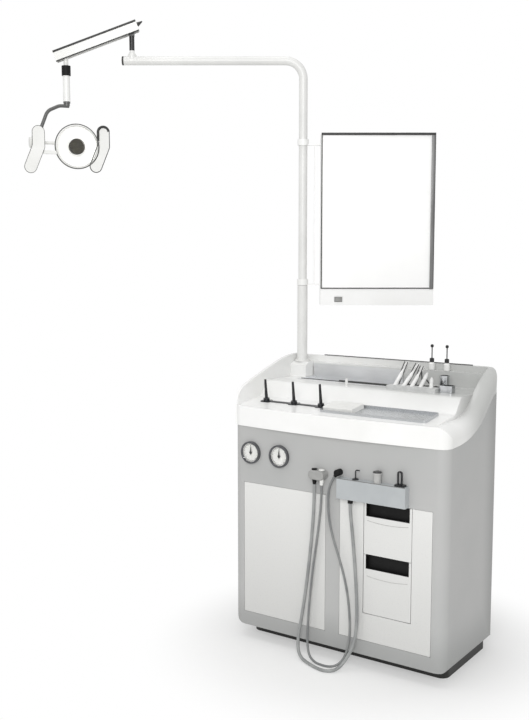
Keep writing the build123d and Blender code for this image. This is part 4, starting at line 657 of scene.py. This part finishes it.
def scale_strokes(x, label):
    """The strokes and two printed rings of one gauge."""
    spot = Vector((x, -0.22445, gauge_height))
    print_pieces = []
    for count in range(stroke_count):
        turn = math.radians(first_degree - degree_step * count)
        out = Vector((math.cos(turn), 0, math.sin(turn)))
        inner = 0.0235 if count % 5 == 0 else 0.0255
        print_pieces.append(bar(spot + out * inner, spot + out * 0.0288, 0.0013, 0.0005,
                                (0, 1, 0), 0.1))
    print_pieces.append(ring(0.0296, 0.0005, 72, 8, (x, -0.2243, gauge_height), facing_front))
    print_pieces.append(ring(0.0042, 0.0012, 48, 8, (x, -0.2262, gauge_height), facing_front))
    clear_selection()
    for piece in print_pieces:
        piece.select_set(True)
    bpy.context.view_layer.objects.active = print_pieces[0]
    bpy.ops.object.join()
    settle(bpy.context.object, label + "_scale", ink_black, "cabinet")


for place, label in ((-0.331, "pressure"), (-0.212, "suction")):
    gauge_card(place, label)
    scale_strokes(place, label)

# %% [markdown]
# A dark rubber seal closes the lamp head's glass, and dark bumper edges run
# round the two handles. They protect the enamel from knocks, and their dark
# colour is also painted shade: it draws the shaded outline of the white lamp
# on a white wall. The right handle's grip has a thick cap over its top.
# %% Seals and bumpers of the lamp head
rubber_dark = coated("dark_rubber_seal", "2A2A29", 0.55, ("242423", "343433", 14),
                     (0.9, 0.03, 0.5, 0.65), ior=1.52)
rubber_grey = coated("grey_rubber_bumper", "6A6A68", 0.5, ("626260", "747472", 14),
                     (0.9, 0.03, 0.45, 0.6), ior=1.52)
head_across, head_height = 0.031, 1.765


def head_ring(name, radius, thick, out, finish):
    """A ring round the lamp head's axis."""
    seal = ring(radius, thick, 120, 10)
    turn = Matrix((across, upward, across.cross(upward))).transposed().to_4x4()
    seal.matrix_world = Matrix.Translation(on_head(head_across, head_height, out)) @ turn
    settle(seal, name, finish, "lamp_head")


# Painted shade: the dark seal and bumpers also stand for the head's shaded outline
head_ring("rim_seal", 0.0812, 0.0018, 0.0205, rubber_dark)
head_ring("lens_seal", 0.0742, 0.0009, 0.0232, rubber_grey)
head_ring("shield_rim", 0.0282, 0.0012, 0.0185, rubber_dark)

handle_half, bumper_out = 0.0222, 0.0352
knee_drop, foot_drop, foot_shift = 0.052, 0.126, -0.030


def handle_outline(top_u, top_z):
    """Points round one bent handle: over its top, down its left, round its foot and back up."""
    top, knee = Vector((top_u, top_z)), Vector((top_u, top_z - knee_drop))
    foot = Vector((top_u + foot_shift, top_z - foot_drop))
    lean = (foot - knee).normalized()
    left = Vector((lean.y, -lean.x))
    lean_turn = math.atan2(-left.y, -left.x)
    foot_turn = math.atan2(left.y, left.x)

    def arc(middle, turns):
        return [middle + handle_half * Vector((math.cos(a), math.sin(a))) for a in turns]

    line = arc(top, [math.pi * n / 14 for n in range(15)])
    line.append(knee + Vector((-handle_half, -handle_half * math.tan(lean_turn / 2))))
    line += arc(foot, [foot_turn + math.pi * n / 14 for n in range(15)])
    line += arc(knee, [lean_turn * (1 - n / 3) for n in range(4)])
    return [on_head(spot.x, spot.y, bumper_out) for spot in line]


right_u, right_z = 0.127, 1.819
bead("right_handle_bumper", handle_outline(right_u, right_z), 0.0017, rubber_dark, "lamp_head",
     True)
bead("left_handle_bumper", handle_outline(-0.113, 1.811), 0.0013, rubber_grey, "lamp_head",
     True)
cap_radius, cap_out = 0.0200, 0.0345
cap_line = [on_head(right_u + cap_radius * math.cos(a), right_z + cap_radius * math.sin(a), cap_out)
            for a in [math.radians(10 + 10 * n) for n in range(18)]]
cap_line += [on_head(right_u - cap_radius, z, cap_out) for z in (1.811, 1.803, 1.795, 1.787)]
bead("right_handle_grip_cap", cap_line, 0.0050, rubber_dark, "lamp_head", False)

# %% [markdown]
# A dark edge strip runs along the bottom and the top of the arm's cover, and
# the arm ends in a pointed rubber tip. The lamp tube's open end is closed by
# a black plug, and a thin ring shows where the tube goes into its sleeve. The
# strips and the plug are dark also as painted shade, for the shaded outline of
# the white arm and the shade at the tube's open end.
# %% Strips, tip, plug and ring of the arm and the tube
# Painted shade: the dark strips also stand for the shaded outline of the white cover
piece = bar(on_arm(-0.0238, -0.0180, 0.0158), on_arm(0.3018, -0.0180, 0.0158), 0.003, 0.004, toward)
settle(piece, "cover_edge", rubber_dark, "balanced_arm")
piece = bar(on_arm(-0.0236, 0.0180, 0.0152), on_arm(0.3016, 0.0180, 0.0152), 0.003, 0.008, toward)
settle(piece, "cover_ridge", rubber_dark, "balanced_arm")

clear_selection()
bpy.ops.mesh.primitive_cone_add(vertices=24, radius1=0.0085, radius2=0.0018, depth=0.022)
tip = bpy.context.object
tip_line = (on_arm(-0.05, 0.010) - on_arm(-0.022, 0.004)).normalized()
tip.matrix_world = (Matrix.Translation(on_arm(-0.0345, 0.008))
                    @ tip_line.to_track_quat("Z", "Y").to_matrix().to_4x4())
settle(tip, "arm_end_tip", rubber_dark, "balanced_arm")
round_edges(tip, 0.0012)

# Painted shade: the plug's black also stands for the shade at the tube's open end
clear_selection()
bpy.ops.mesh.primitive_cylinder_add(vertices=64, radius=0.0163, depth=0.007)
plug = bpy.context.object
plug.matrix_world = (Matrix.Translation(on_post(-0.6655, 2.076))
                     @ along.to_track_quat("Z", "Y").to_matrix().to_4x4())
bpy.ops.object.transform_apply(location=True, rotation=True, scale=True)
round_edges(plug, 0.0018)
settle(plug, "tube_plug", rubber_dark, "lamp_post")
settle(ring(0.0168, 0.0011, 72, 8, on_post(0.0, 1.2505)), "sleeve_ring", rubber_grey, "cabinet")

# %% [markdown]
# Under each drawer pull the panel has a shallow raised lip, bowed a little
# downwards, that helps a finger find the pull. It is a thin bead, sunk in the
# panel by half, and its grey is a painted shadow line under the pull. A dark
# gasket lies along the rack's top edge.
# %% Panel lips and rack gasket
# Painted shadow: the lip's grey draws the shadow line under each pull
lip_shadow_grey = coated("painted_shadow_lip_grey", "B9B9B7", 0.4, ("B2B2B0", "C0C0BE", 20),
                  (1.2, 0.01, 0.36, 0.46))
lip_middle, lip_half, lip_bow = 0.205, 0.074, 0.006


def pull_lip(name, top, body):
    """A bowed bead below a pull, from the left to the right end of the drawer's front."""
    steps = [-1 + n / 12 for n in range(25)]
    sweep = [Vector((lip_middle + lip_half * t, -0.2202, top - lip_bow * (1 - t * t)))
             for t in steps]
    bead(name, sweep, 0.0009, lip_shadow_grey, body, False)


pull_lip("upper_pull_lip", 0.508, "upper_drawer")
pull_lip("lower_pull_lip", 0.322, "lower_drawer")
gasket = bar((0.031, -0.2498, 0.6405), (0.279, -0.2498, 0.6405), 0.0016, 0.0018, (0, 1, 0), 0.4)
settle(gasket, "rack_gasket", rubber_grey, "cabinet")

# %% [markdown]
# The five rinsing handpieces lie over a black ribbed mat, a dark sheet that
# paints the shade in the gaps between them. A flat plate is cut across into
# strips, and every second strip of faces is raised.
# %% Ribbed mat, a painted shade
mat_left, strip_width, strip_count = 0.080, 0.008, 22
clear_selection()
bpy.ops.mesh.primitive_cube_add(size=1, location=(0.168, 0.103, 0.9094))
mat = bpy.context.object
mat.scale = (strip_width * strip_count, 0.094, 0.0026)
bpy.ops.object.transform_apply(location=True, rotation=True, scale=True)
bpy.ops.object.mode_set(mode="EDIT")
for cut in range(1, strip_count):
    bpy.ops.mesh.select_all(action="SELECT")
    bpy.ops.mesh.bisect(plane_co=(mat_left + strip_width * cut, 0, 0), plane_no=(1, 0, 0))
pick_faces(mat, lambda face: face.normal.z > 0.9
           and int((face.calc_center_median().x - mat_left) / strip_width) % 2 == 0)
bpy.ops.mesh.extrude_region_move(TRANSFORM_OT_translate={"value": (0, 0, 0.0016)})
bpy.ops.object.mode_set(mode="OBJECT")
settle(mat, "ribbed_shade_mat", rubber_dark, "cabinet")

# %% [markdown]
# A film is pushed under a black rail on top of the viewer's screen, and a
# grey extruded stop on the right keeps it straight. Both are drawn bars on
# the front of the case, so their place is measured from the case's own mesh.
# %% Film rail and stop
case_spots = [spot.co - post_foot for spot in bpy.data.objects["viewer_case"].data.vertices]
case_front = max(spot.dot(toward) for spot in case_spots)
case_left = min(spot.dot(along) for spot in case_spots)
case_right = max(spot.dot(along) for spot in case_spots)
print("viewer case front %.4f left %.4f right %.4f" % (case_front, case_left, case_right))
rail_height, bar_out, stop_run = 1.8085, case_front + 0.0022, case_right - 0.0095
rail = bar(on_post(case_left + 0.004, rail_height, bar_out),
           on_post(case_right - 0.004, rail_height, bar_out), 0.0085, 0.0044, (0, 0, 1), 1.2)
settle(rail, "film_rail", rubber_dark, "viewer")
stop_grey = coated("grey_anodised_aluminium_stop", "6E6E6E", 0.36,
                   ("666666", "787878", 40, (1.0, 1.0, 0.2)),
                   (0.8, 0.01, 0.3, 0.44, (1.0, 1.0, 0.05)), metal=0.6)
stop = bar(on_post(stop_run, 1.236, bar_out), on_post(stop_run, 1.803, bar_out), 0.013, 0.0040,
           along, 1.2)
settle(stop, "film_stop", stop_grey, "viewer")

# %% [markdown]
# A black rubber bead, in two lengths, lies in the gap between the sunk steel
# tray and the acrylic: a painted shadow line along the tray's front edge. A
# thinner black edging runs along the top of the rear rim. Each rinsing
# handpiece has black strips along its sides, a painted shade for the gaps
# between the handpieces. The last two pass close by each other when they are
# lifted, so one side of each stays bare.
# %% Worktop edgings, tray shadow beads and handpiece shade strips
# Painted shadow: the two black beads draw the shadow line under the tray's front edge
edging = [(-0.316, 0.0785, 0.9092), (-0.230, 0.0770, 0.9094), (-0.150, 0.0765, 0.9096)]
bead("tray_front_shadow_bead", edging, 0.0024, rubber_dark, "cabinet", False)
edging = [(-0.152, 0.0768, 0.9110), (-0.050, 0.0762, 0.9112), (0.060, 0.0762, 0.9112)]
bead("tray_wide_shadow_bead", edging, 0.0046, rubber_dark, "cabinet", False)
edging = [(-0.300 + 0.030 * n, 0.2175, 0.9862) for n in range(21)]
bead("rear_rim_edging", edging, 0.0014, rubber_dark, "cabinet", False)

# Painted shade: the black strips draw the shade in the gaps between the handpieces
strip_out = 0.0058
starts = (0.093, 0.125, 0.156, 0.189, 0.231)
ends = ((0.105, 0.994), (0.147, 0.990), (0.163, 0.980), (0.179, 0.960), (0.196, 0.944))
for count, (x, (end_x, end_z)) in enumerate(zip(starts, ends), 1):
    first, last = Vector((x, 0.030, 0.915)), Vector((end_x, 0.110, end_z))
    run = last - first
    side = run.cross(Vector((0, 1, 0))).normalized() * strip_out
    for label, sign in (("left", -1), ("right", 1)):
        if label == "left" and count > 3:
            continue
        strip = bar(first + run * 0.10 + side * sign, first + run * 0.93 + side * sign,
                    0.0042, 0.0030, (0, 1, 0), 0.6)
        settle(strip, "handpiece_%d_%s_grip" % (count, label), rubber_dark,
               "rinse_handpiece_%d" % count)
